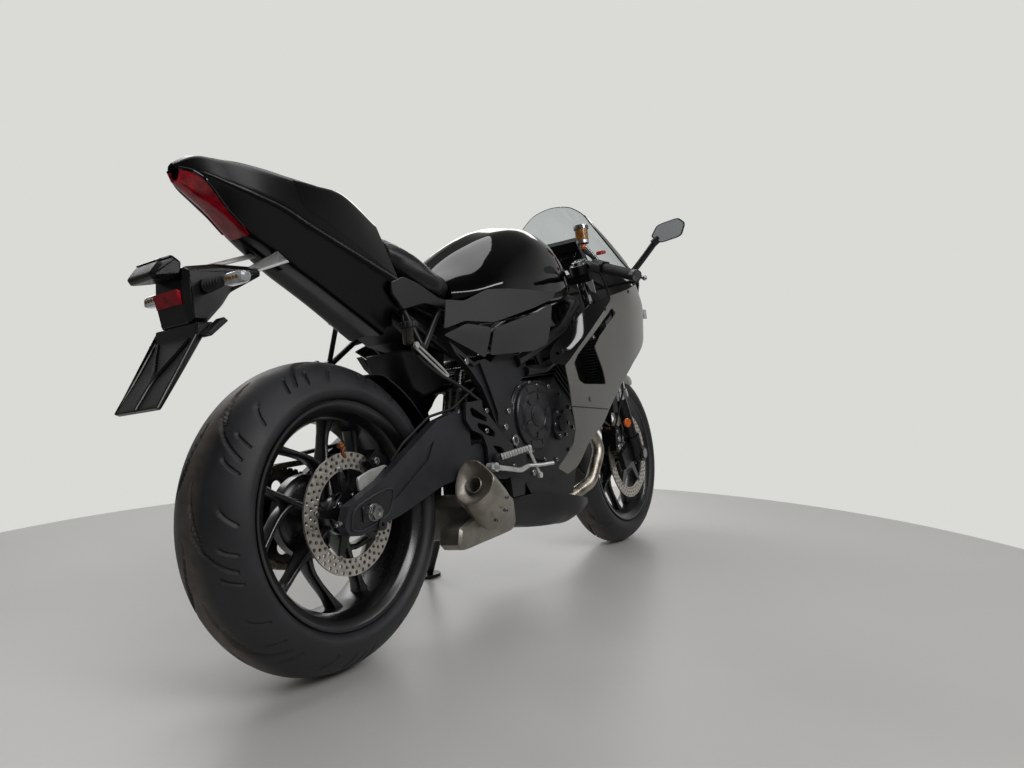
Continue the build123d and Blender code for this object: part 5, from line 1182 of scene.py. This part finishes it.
def make_lamps(m, size):
    """Indicators, plate holder, reflector and head lamp: rings of scaled outlines, chamfered slabs
    and turned profiles. The boots' radius is a sine of the length, six waves long."""
    # indicator pods: rounded bars with a line of light sources under a clear lens
    pods, dots, boots = [], [], []
    for s in (-1, 1):
        o = rounded([(-13, -12), (9, -12), (14, 0), (10, 10), (-12, 10)], 0.4, 5, 0, loop=True)
        rings = [xyz(-250 + o[:, 0] * k, np.full(len(o), s * y), 760 + o[:, 1] * k)
                 for y, k in ((92, 0.6), (96, 0.9), (102, 1.0), (132, 0.98), (140, 0.8), (143, 0.4))]
        pods.append(grid(np.array(rings), close_v=True, caps=True))
        dots.append(bolts([(-262.5, s * y, 759) for y in (104, 113, 122, 131)], (-1, 0, 0), 3.2, 1.6))
        k = np.linspace(0, 1, 30)
        boots.append(turned(np.stack([12 - 3 * k + 1.6 * np.sin(k * 2 * np.pi * 6), k * 38], -1),
                            (-262, s * 50, 757), (0.1, s, 0.08), 24))
    piece("indicator_lenses", join(pods), "chassis", m["lamp_clear"], ["rear_indicators"])
    piece("indicator_lights", join(dots), "chassis", m["amber"])
    piece("indicator_boots", join(boots), "chassis", m["rubber"])
    # plate holder: arm, lamp box, blade with a raised V, side tabs and the two pale straps
    arm = slab([(-138, 806), (-132, 790), (-205, 752), (-224, 728), (-262, 692), (-296, 690), (-304, 735),
                (-300, 790), (-232, 802)], -47, 47, 9.0, 0.12)
    box = slab([(-313, 808), (-339, 798), (-359, 773), (-352, 763), (-300, 772), (-296, 800)], -38, 38, 7.0,
               0.2)
    lid = slab([(-300, 802), (-314, 810), (-340, 800), (-336, 796), (-313, 804), (-300, 797)], -34, 34, 2.0,
               0.2)
    blade = slab([(-262, 692), (-290, 658), (-328, 606), (-376, 542), (-385, 546), (-336, 612), (-301, 664),
                  (-296, 690)], -60, 60, 3.0, 0.12)
    vee = [tube([(-302, s * 46, 664), (-326, s * 22, 628), (-346, 0, 600), (-384, 0, 548)], 3.4,
                10) for s in (-1, 1)]
    rims = [tube([(-299, s * 58, 668), (-334, s * 58, 616), (-382, s * 58, 546)], 3.2, 10) for s in (-1, 1)]
    ears = [slab([(-251, 690), (-288, 662), (-295, 667), (-259, 697)], s * 62, s * 86, 2.0) for s in (-1, 1)]
    ears += [tube([(-255, s * 66, 694), (-255, s * 82, 694), (-290, s * 82, 665), (-290, s * 66, 665)], 2.6,
                  10)
             for s in (-1, 1)]
    piece("plate_holder_arm", join([arm, box, blade] + vee + rims + ears), "chassis", m["holder_black"],
          ["plate_holder"], crease=35)
    piece("plate_lamp_lid", lid, "chassis", m["gloss_black"])
    straps = [slab([(-240, 797), (-50, 855), (-50, 861), (-66, 861), (-244, 803)], 17, 33, 1.0, 0.05),
              slab([(-206, 775), (-137, 797), (-40, 831), (-40, 868), (-46, 868), (-46, 837), (-137, 804),
                    (-209, 781)], -42, -26, 1.0, 0.05)]
    piece("holder_straps", join(straps), "chassis", m["pale_strap"])
    # reflector: ribbed face, depth = triangle wave across
    y = np.linspace(-34, 34, 120)
    rib = 1.1 * np.abs((y / 4.0) % 2 - 1)
    rows = [xyz(x - rib, y, np.full_like(y, z)) for x, z in ((-309.5, 749.5), (-303.8, 724.5))]
    piece("reflector_lens", shell(grid(np.array(rows)), 1.2), "chassis", m["lamp_red"])
    # head lamp: turned projector glass in a ring
    glass = turned([(0.5, 29.5), (10, 28), (20, 23), (24, 16), (24, 0), (0.5, 0)], (1594, 0, 782), (1, 0, 0),
                   48)
    piece("projector_glass", glass, "chassis", m["lamp_clear"])
    ring = turned([(25, 0), (25, 22), (27, 24), (30, 22), (31, 0)], (1598, 0, 782), (1, 0, 0), 48)
    piece("projector_ring", grid(ring[0].reshape(5, 48, 3), close_u=True, close_v=True), "chassis",
          m["trim_black"])


def make_fork(m, size):
    """Side reflectors: a low domed profile turned about a line that looks out and back."""
    dome = [(0.5, 4), (10, 4), (14, 3), (16, 0), (0.5, 0)]
    orange = [turned(dome, (1308, s * 119, 413), (-0.5, s, 0.1), 32) for s in (-1, 1)]
    piece("fork_reflectors", join(orange), "steering", m["orange"])


def make_rear_set(m, size):
    """Heel plates: square cells inside a side outline with its openings, given a wall. Pegs: turned
    profiles with a square wave along them. Pedals and stays: slabs and carried circles."""
    pot = (205, -112, 656)
    body = turned([(0.5, 0), (15, 0), (17, 3), (17, 36), (0.5, 36)], pot, (0, 0, 1), 40)
    cap = turned([(0.5, 36.5), (19, 36.5), (20, 38), (20, 48), (18, 50), (0.5, 50)], pot, (0, 0, 1), 96,
                 wave=knurl(0.04))
    piece("rear_reservoir_body", body, "chassis", m["smoke"])
    piece("rear_reservoir_cap", cap, "chassis", m["trim_black"])
    piece("rear_reservoir_stay", tube([(205, -100, 690), (214, -88, 716), (222, -84, 762)], 4), "chassis",
          m["frame_black"])
    hose = tube([(205, -112, 664), (214, -116, 630), (280, -118, 590), (340, -134, 560), (392, -150, 520)], 4)
    piece("rear_reservoir_hose", hose, "chassis", m["rubber"])
    # heel plates: the cast outline with its openings; pegs; passenger stays with their loops, pale as a painted
    # highlight
    outline = [(333, 516), (400, 521), (398, 503), (423, 483), (452, 455), (478, 424), (516, 404), (520, 372),
               (520, 330), (470, 322), (420, 330), (400, 344), (402, 404), (388, 437), (346, 452), (326, 477)]
    holes = [[(346, 500), (352, 506), (412, 478), (410, 466), (352, 484)],
             [(372, 468), (414, 458), (441, 440), (436, 428), (404, 436), (370, 456)],
             [(424, 410), (462, 402), (486, 378), (440, 390)]]
    plate = shell(sheet(outline, lambda x, z: np.full_like(x, 153.0), 5.0, holes, 0.15), 7.5)
    hubs, pegs, loops, stays, fills = [], [], [], [], []
    for s in (-1, 1):
        a, b = np.array((434.0, s * 168, 379)), np.array((474.0, s * 232, 395))
        far = np.linalg.norm(b - a)
        k = np.linspace(0, 1, 60)
        r = 8.2 - 1.6 * k + 0.5 * np.sign(np.sin(k * 2 * np.pi * 11))
        r[0] = r[-1] = 5
        pegs.append(turned(np.stack([r, k * far], -1), a, b - a, 24))
        hubs.append(turned([(0.5, 0), (14, 0), (15, 2), (15, 12), (11, 18), (0.5, 18)], (430, s * 152, 374),
                           (0, s, 0), 32))
        a, b = np.array((171.0, s * 150, 650)), np.array((279.0, s * 150, 580))
        n = np.array((0.544, 0, 0.839)) * 5.5
        # the loop follows the passenger bracket's edge round a dark plate; its pale colour is a painted highlight
        loops.append(tube([a, a + n, b + n, b - n, a - n, a], 2.7, 10, 5, 0.45))
        loops.append(turned([(0.5, 0), (7, 0), (7, 5), (0.5, 5)], (174, s * 151, 648), (0, s, 0), 20))
        fills.append(slab([(a + n)[[0, 2]], (b + n)[[0, 2]], (b - n)[[0, 2]], (a - n)[[0, 2]]], s * 147,
                          s * 149.5, 0.5))
        stays.append(tube([(330, s * 104, 740), (206, s * 146, 640)], 7))
        stays.append(tube([(200, s * 84, 778), (206, s * 146, 640)], 6))
        stays.append(turned([(0.5, 0), (12, 0), (12, 16), (0.5, 16)], (200, s * 134, 640), (0, s, 0), 28))
    piece("heel_plates", join([mirrored(plate)] + hubs), "chassis", m["plate_grey"],
          ["foot_rests"], crease=35)
    piece("rider_pegs_and_stay_highlight", join(pegs + loops), "chassis", m["pale_strap"])
    piece("passenger_stays", join(stays + fills), "chassis", m["frame_black"])
    # brake pedal and its link on the right, gear lever on the left
    pedal = [slab([(378, 367), (447, 355), (503, 344), (545, 351), (549, 341), (506, 332), (446, 343),
                   (376, 354)],
                  -178, -171, 1.5, 0.2),
             tube([(545, -174, 346), (572, -192, 343), (604, -214, 344)], 4.6, 12),
             turned([(0.5, 0), (11, 0), (11, 25), (0.5, 25)], (396, -153, 358), (0, -1, 0), 28),
             tube([(543, -182, 383), (584, -182, 317)], 4.4, 12)]
    pedal += [turned([(0.5, 0), (7, 0), (8, 2), (8, 9), (0.5, 9)], (x, -177, z), (0, -1, 0), 24)
              for x, z in ((543, 383), (584, 317))]
    pedal.append(tube([(508, 160, 336), (560, 162, 324), (604, 168, 318)], 6, 12))
    pedal.append(turned([(0.5, 0), (11, 0), (11, 20), (0.5, 20)], (508, 153, 336), (0, 1, 0), 28))
    piece("foot_pedals", join(pedal), "chassis", m["pale_strap"], ["foot_levers"], crease=40)
    toe = turned([(0.5, 0), (8, 0), (9, 2), (9, 42), (8, 46), (0.5, 46)], (602, 168, 318), (0, 1, 0), 24)
    piece("gear_toe_rubber", toe, "chassis", m["rubber"])


# ------------------------------------------------------------ stage
# The floor lies a hair under the tyres. ROOM_FILL is the strength of the light from all sides, and
# GLOSS_AHEAD points to the side where glossy parts see lit walls.
FLOOR_Z = -0.0004
ROOM_FILL = 0.30
GLOSS_AHEAD = (0.85, 0.53, 0.0)
# Soft boxes as (name, place, aim, watts, width, height) in metres.
LAMPS = (
    ("key_softbox", (-1.2, -3.2, 3.2), (0, 0, 0.5), 66, 2.2, 2.2),
    ("top_softbox", (0.3, 0.6, 4.2), (0, 0, 0.4), 60, 3.0, 3.0),
    ("side_strip", (0.4, -2.6, 2.1), (0, 0, 0.6), 16, 3.4, 0.22),
    ("left_softbox", (0.6, 3.4, 2.8), (0, 0, 0.5), 40, 2.2, 2.2),
    ("fill_softbox", (3.4, 1.8, 2.2), (0, 0, 0.5), 30, 2.0, 2.0),
)
# Camera: its place in metres from the floor under the rear axle, angles in degrees, lens in mm.
CAMERA_AT = (-1.128, -1.128, 0.616)
CAMERA_YAW, CAMERA_PITCH, CAMERA_ROLL = 32.11, -1.30, 0.04
CAMERA_LENS, CAMERA_SENSOR = 27.13, 36.0


def make_stage(m, size):
    """Round floor, room and wall light, and five soft boxes. The wall's colour is what the camera and
    clear parts see; glossy parts see a dimmer room."""
    t = np.linspace(0, 2 * np.pi, 96, endpoint=False)
    r = np.array([0.001, 0.6, 1.2, size.floor_radius])[:, None]
    v, faces = grid(xyz(r * np.cos(t), r * np.sin(t), FLOOR_Z), close_v=True)
    mesh = bpy.data.meshes.new("studio_floor")
    mesh.from_pydata(v.tolist(), [], [q for f in faces for q in np.asarray(f).tolist()])
    floor = bpy.data.objects.new("studio_floor", mesh)
    bpy.context.scene.collection.objects.link(floor)
    mesh.materials.append(m["floor"])
    colour = tone(bpy.context.scene.sport_bike_colours.wall)
    world = bpy.data.worlds.new("studio_room")
    bpy.context.scene.world = world
    world.use_nodes = True
    tree = world.node_tree
    tree.nodes.clear()
    path = add(tree, "LightPath")
    # What gloss sees: lit walls ahead up to head height, a dim ceiling and a dim open side behind
    toward = add(tree, "TexCoord").outputs["Object"]
    rise = add(tree, "MapRange", {"From Min": 0.25, "From Max": 0.7, "To Min": 1.0, "To Max": 0.25},
               {"Value": add(tree, "SeparateXYZ", links={0: toward}).outputs["Z"]})
    ahead = add(tree, "VectorMath", {1: GLOSS_AHEAD}, {0: toward}, operation="DOT_PRODUCT")
    side = add(tree, "MapRange", {"From Min": 0.15, "From Max": 0.95, "To Min": 0.17, "To Max": 0.9},
               {"Value": ahead.outputs["Value"]})
    glow = add(tree, "Math", links={0: rise.outputs[0], 1: side.outputs[0]}, operation="MULTIPLY")
    lit = add(tree, "Mix", {0: 0.0}, {0: path.outputs["Is Glossy Ray"], 3: glow.outputs[0]},
              data_type="FLOAT")
    lit.inputs[2].default_value = ROOM_FILL
    room = add(tree, "Background", {"Color": colour}, {"Strength": lit.outputs[0]})
    wall = add(tree, "Background", {"Color": colour, "Strength": 1.0})
    seen = add(tree, "Math", links={0: path.outputs["Is Camera Ray"], 1: path.outputs["Is Transmission Ray"]},
               operation="MAXIMUM")
    mix = add(tree, "MixShader", links={0: seen.outputs[0], 1: room.outputs[0], 2: wall.outputs[0]})
    add(tree, "OutputWorld", links={"Surface": mix.outputs[0]})
    for name, at, aim, power, wide, high in LAMPS:
        light = bpy.data.lights.new(name, "AREA")
        light.shape, light.energy, light.size, light.size_y = "RECTANGLE", power, wide, high
        lamp = bpy.data.objects.new(name, light)
        bpy.context.scene.collection.objects.link(lamp)
        lamp.location = at
        lamp.visible_transmission = False
        lamp.rotation_euler = (Vector(aim) - Vector(at)).to_track_quat("-Z", "Y").to_euler()


def make_camera(m, size):
    """Camera behind the bike on its right, 0.6 m up. Its look is the X axis turned by yaw and raised by
    pitch, and roll turns it about that look."""
    yaw, pitch, roll = (math.radians(v) for v in (CAMERA_YAW, CAMERA_PITCH, CAMERA_ROLL))
    ahead = Vector((math.cos(yaw) * math.cos(pitch), math.sin(yaw) * math.cos(pitch), math.sin(pitch)))
    right = ahead.cross(Vector((0, 0, 1))).normalized()
    turn = Matrix((right, right.cross(ahead), -ahead)).transposed() @ Matrix.Rotation(roll, 3, "Z")
    camera = bpy.data.objects.new("camera", bpy.data.cameras.new("camera"))
    bpy.context.scene.collection.objects.link(camera)
    camera.data.sensor_fit = "HORIZONTAL"
    camera.data.sensor_width = CAMERA_SENSOR
    camera.data.lens = CAMERA_LENS
    at = Vector(CAMERA_AT) - Vector(ORIGIN / 1000.0)
    camera.matrix_world = Matrix.Translation(at) @ turn.to_4x4()
    bpy.context.scene.camera = camera
    bpy.context.scene.view_settings.view_transform = "Standard"


# ------------------------------------------------------------ add-on
FINISH = {}


def make_finishes(m, size):
    """Fills the finish table and puts each CAD node's finish on it."""
    colours = bpy.context.scene.sport_bike_colours
    m.update(finishes(colours))
    # Painted studio floor: pale warm grey, an even low shine.
    m["floor"] = finish("pale_studio_floor", tone(colours.floor, 0.897), tone(colours.floor), 0.4, grain=30,
                        height=0.05, cloud=900, swing=0.06)
    # Sintered copper pads, pressed: dull orange brown.
    m["copper"] = finish("sintered_copper", "#7a4a2c", "#a2683f", 0.5, 0.8, grain=0.9, height=0.05, cloud=8)
    # Orange acrylic reflector, moulded: bright orange under a clear face.
    m["orange"] = finish("moulded_orange_acrylic", "#a8420c", "#e0701c", 0.15, grain=3, height=0.3, cloud=10,
                         values={"Coat Weight": 1.0})
    # Brake fluid behind smoked nylon: amber.
    m["amber"] = finish("amber_filled_nylon_cup", "#7a4a12", "#c08428", 0.2, grain=4, height=0.05, cloud=20,
                        values={"Transmission Weight": 0.3})
    # Smoked nylon cup, moulded: grey brown, half clear.
    m["smoke"] = finish("smoked_nylon_cup", "#2a2622", "#4a443c", 0.2, grain=4, height=0.05, cloud=20,
                        values={"Transmission Weight": 0.3})
    # Aluminised glass: a plain bright mirror.
    m["mirror"] = finish("aluminised_mirror_glass", "#c4c9cc", "#d5d9db", 0.14, 0.6, grain=30, height=0.002,
                         cloud=300, swing=0.01)
    # Nylon plate holder, moulded smooth: black with a low even shine.
    m["holder_black"] = finish("moulded_black_nylon", "#070708", "#0e0e0f", 0.3, grain=1.4, height=0.02,
                               cloud=60)
    # Aluminium strap, bead blasted and clear anodised: pale and even.
    m["pale_strap"] = finish("clear_anodised_strap", "#b4b5b3", "#cfd0cd", 0.42, 0.5, grain=0.8, height=0.02,
                             cloud=30)
    # ABS in satin black paint: deep cool black with one wide soft highlight.
    m["panel_black"] = finish("satin_black_painted_plastic", "#050507", "#09090c", 0.25, grain=1.2,
                              height=0.006, cloud=200, swing=0.03, values={"Specular IOR Level": 0.25})
    # Red moulded switch button.
    m["signal_red"] = finish("red_moulded_button", "#8c1210", "#b01c18", 0.35, grain=1.5, height=0.02,
                             cloud=20)
    # Silvered plastic bowl behind the red lens.
    m["lamp_bowl"] = finish("red_vacuum_silvered_bowl", "#7c1420", "#c02836", 0.2, 0.8, grain=3, height=0.1,
                            cloud=10)
    # Black glass over the dash display.
    m["dash_glass"] = finish("black_dash_glass", "#050607", "#0a0c0f", 0.06, grain=30, height=0.002,
                             cloud=100)
    slots = {s["node"]: s["material_slot"] for s in frame["record"]["subparts"]}
    for name, node in frame["nodes"].items():
        node.data.materials.clear()
        node.data.materials.append(m[slots[name]])


def length_property(label, description, mm, low, high):
    """Length field of the panel; it takes millimetres and holds metres."""
    return bpy.props.FloatProperty(name=label, description=description, default=mm / 1000.0, min=low / 1000.0,
                                   max=high / 1000.0, precision=4, subtype="DISTANCE", unit="LENGTH")


class SportBikeSizes(bpy.types.PropertyGroup):
    """Sizes that a user may change before the pieces are made."""
    tread_depth: length_property("Tread Depth", "Depth of the tyre grooves", 5.0, 0.5, 6.0)
    seat_swell: length_property("Seat Swell", "Most that the seat foam bulges", 6.0, 0.0, 12.0)
    panel_wall: length_property("Panel Wall", "Thickness of the moulded panels", 3.0, 1.0, 5.0)
    disc_thickness: length_property("Disc Thickness", "Thickness of the brake discs", 4.5, 3.0, 6.0)
    floor_radius: length_property("Floor Radius", "Radius of the round studio floor", 1900.0, 1500.0, 6000.0)


def colour_property(label, description, code):
    """Colour field of the panel, with its default from an sRGB hex code."""
    return bpy.props.FloatVectorProperty(name=label, description=description, default=linear(code), size=4,
                                         min=0.0, max=1.0, subtype="COLOR")


class SportBikeColours(bpy.types.PropertyGroup):
    """Colours that a user may change before the pieces are made. A finish runs from a darker tone of
    its colour to the colour itself."""
    fairing_paint: colour_property("Fairing Paint", "Satin paint of the fairings and mudguard", "#71706d")
    lacquer: colour_property("Lacquer", "Gloss lacquer of the tank, cowl and intakes", "#050506")
    cover_plastic: colour_property("Cover Plastic", "Bare plastic of the side covers", "#303031")
    wheel_powder: colour_property("Wheel Powder", "Powder coat of the rims and disc carriers", "#131316")
    lens_red: colour_property("Lens Red", "Acrylic of the tail lamp and rear reflector", "#c8142a")
    floor: colour_property("Floor", "Painted studio floor", "#bdbcba")
    wall: colour_property("Wall", "Studio wall and room light", "#dadad7")


class BIKE_OT_finishes(bpy.types.Operator):
    """Make every finish and put it on the CAD nodes"""
    bl_idname = "bike.finishes"
    bl_label = "Finishes"

    def execute(self, context):
        make_finishes(FINISH, context.scene.sport_bike_sizes)
        return {"FINISHED"}


class BIKE_OT_wheels(bpy.types.Operator):
    """Make the tyres, rims, discs and hubs"""
    bl_idname = "bike.wheels"
    bl_label = "Tyres and Discs"

    def execute(self, context):
        make_wheels(FINISH, context.scene.sport_bike_sizes)
        return {"FINISHED"}


class BIKE_OT_tank(bpy.types.Operator):
    """Make the fuel tank and its filler cap"""
    bl_idname = "bike.tank"
    bl_label = "Tank"

    def execute(self, context):
        make_tank(FINISH, context.scene.sport_bike_sizes)
        return {"FINISHED"}


class BIKE_OT_tail(bpy.types.Operator):
    """Make the tail panels, cowl and tail lamp"""
    bl_idname = "bike.tail"
    bl_label = "Tail"

    def execute(self, context):
        make_tail(FINISH, context.scene.sport_bike_sizes)
        return {"FINISHED"}


class BIKE_OT_seat(bpy.types.Operator):
    """Make the padded rider's seat"""
    bl_idname = "bike.seat"
    bl_label = "Seat"

    def execute(self, context):
        make_seat(FINISH, context.scene.sport_bike_sizes)
        return {"FINISHED"}


class BIKE_OT_bodywork(bpy.types.Operator):
    """Make the fairings, covers, screen and mudguard"""
    bl_idname = "bike.bodywork"
    bl_label = "Fairings and Screen"

    def execute(self, context):
        make_bodywork(FINISH, context.scene.sport_bike_sizes)
        return {"FINISHED"}


class BIKE_OT_exhaust(bpy.types.Operator):
    """Make the silencer with its tip, collar and rivets"""
    bl_idname = "bike.exhaust"
    bl_label = "Exhaust"

    def execute(self, context):
        make_exhaust(FINISH, context.scene.sport_bike_sizes)
        return {"FINISHED"}


class BIKE_OT_clutch(bpy.types.Operator):
    """Make the raised rings and ribs of the clutch cover"""
    bl_idname = "bike.clutch"
    bl_label = "Clutch Cover"

    def execute(self, context):
        make_clutch(FINISH, context.scene.sport_bike_sizes)
        return {"FINISHED"}


class BIKE_OT_bolts(bpy.types.Operator):
    """Make the bolts of the frame, engine and panels"""
    bl_idname = "bike.bolts"
    bl_label = "Bolts"

    def execute(self, context):
        make_bolts(FINISH, context.scene.sport_bike_sizes)
        return {"FINISHED"}


class BIKE_OT_radiator(bpy.types.Operator):
    """Make the folded fins of the radiator"""
    bl_idname = "bike.radiator"
    bl_label = "Radiator"

    def execute(self, context):
        make_radiator(FINISH, context.scene.sport_bike_sizes)
        return {"FINISHED"}


class BIKE_OT_brakes(bpy.types.Operator):
    """Make the brake pads, caliper caps and bleeder"""
    bl_idname = "bike.brakes"
    bl_label = "Brakes"

    def execute(self, context):
        make_brakes(FINISH, context.scene.sport_bike_sizes)
        return {"FINISHED"}


class BIKE_OT_axle_ends(bpy.types.Operator):
    """Make the rear axle blocks, nuts and the tyre flap"""
    bl_idname = "bike.axle_ends"
    bl_label = "Rear Axle and Flap"

    def execute(self, context):
        make_axle_ends(FINISH, context.scene.sport_bike_sizes)
        return {"FINISHED"}


class BIKE_OT_cockpit(bpy.types.Operator):
    """Make the grips, switches, reservoir and dash glass"""
    bl_idname = "bike.cockpit"
    bl_label = "Cockpit"

    def execute(self, context):
        make_cockpit(FINISH, context.scene.sport_bike_sizes)
        return {"FINISHED"}


class BIKE_OT_mirrors(bpy.types.Operator):
    """Make the two mirrors"""
    bl_idname = "bike.mirrors"
    bl_label = "Mirrors"

    def execute(self, context):
        make_mirrors(FINISH, context.scene.sport_bike_sizes)
        return {"FINISHED"}


class BIKE_OT_lamps(bpy.types.Operator):
    """Make the indicators, plate holder, reflector and head lamp"""
    bl_idname = "bike.lamps"
    bl_label = "Lamps"

    def execute(self, context):
        make_lamps(FINISH, context.scene.sport_bike_sizes)
        return {"FINISHED"}


class BIKE_OT_fork(bpy.types.Operator):
    """Make the fork's side reflectors"""
    bl_idname = "bike.fork"
    bl_label = "Fork"

    def execute(self, context):
        make_fork(FINISH, context.scene.sport_bike_sizes)
        return {"FINISHED"}


class BIKE_OT_rear_set(bpy.types.Operator):
    """Make the foot rests, pedals and rear reservoir"""
    bl_idname = "bike.rear_set"
    bl_label = "Rear Set"

    def execute(self, context):
        make_rear_set(FINISH, context.scene.sport_bike_sizes)
        return {"FINISHED"}


class BIKE_OT_stage(bpy.types.Operator):
    """Make the floor, the room and the soft boxes"""
    bl_idname = "bike.stage"
    bl_label = "Stage and Lights"

    def execute(self, context):
        make_stage(FINISH, context.scene.sport_bike_sizes)
        return {"FINISHED"}


class BIKE_OT_camera(bpy.types.Operator):
    """Make the camera"""
    bl_idname = "bike.camera"
    bl_label = "Camera"

    def execute(self, context):
        make_camera(FINISH, context.scene.sport_bike_sizes)
        return {"FINISHED"}


OPERATORS = (
    BIKE_OT_finishes, BIKE_OT_wheels, BIKE_OT_tank, BIKE_OT_tail, BIKE_OT_seat, BIKE_OT_bodywork,
    BIKE_OT_exhaust, BIKE_OT_clutch, BIKE_OT_bolts, BIKE_OT_radiator, BIKE_OT_brakes, BIKE_OT_axle_ends,
    BIKE_OT_cockpit, BIKE_OT_mirrors, BIKE_OT_lamps, BIKE_OT_fork, BIKE_OT_rear_set, BIKE_OT_stage,
    BIKE_OT_camera,
)


class BIKE_PT_panel(bpy.types.Panel):
    """Sidebar panel with the sizes, the colours and the operators in their order"""
    bl_label = "Sport Bike"
    bl_idname = "BIKE_PT_panel"
    bl_space_type = "VIEW_3D"
    bl_region_type = "UI"
    bl_category = "Sport Bike"

    def draw(self, context):
        """Lists every size, every colour and every operator."""
        for group in (context.scene.sport_bike_sizes, context.scene.sport_bike_colours):
            for key in type(group).__annotations__:
                self.layout.prop(group, key)
        for cls in OPERATORS:
            self.layout.operator(cls.bl_idname)


CLASSES = (SportBikeSizes, SportBikeColours, *OPERATORS, BIKE_PT_panel)


def register():
    """Adds the classes, then the sizes and colours to each scene."""
    for cls in CLASSES:
        bpy.utils.register_class(cls)
    bpy.types.Scene.sport_bike_sizes = bpy.props.PointerProperty(type=SportBikeSizes)
    bpy.types.Scene.sport_bike_colours = bpy.props.PointerProperty(type=SportBikeColours)


def unregister():
    """Takes away all that register adds, in the opposite order."""
    del bpy.types.Scene.sport_bike_colours
    del bpy.types.Scene.sport_bike_sizes
    for cls in reversed(CLASSES):
        bpy.utils.unregister_class(cls)


def main():
    register()
    for cls in OPERATORS:
        getattr(bpy.ops.bike, cls.bl_idname.split(".")[1])()


if __name__ == "__main__":
    main()
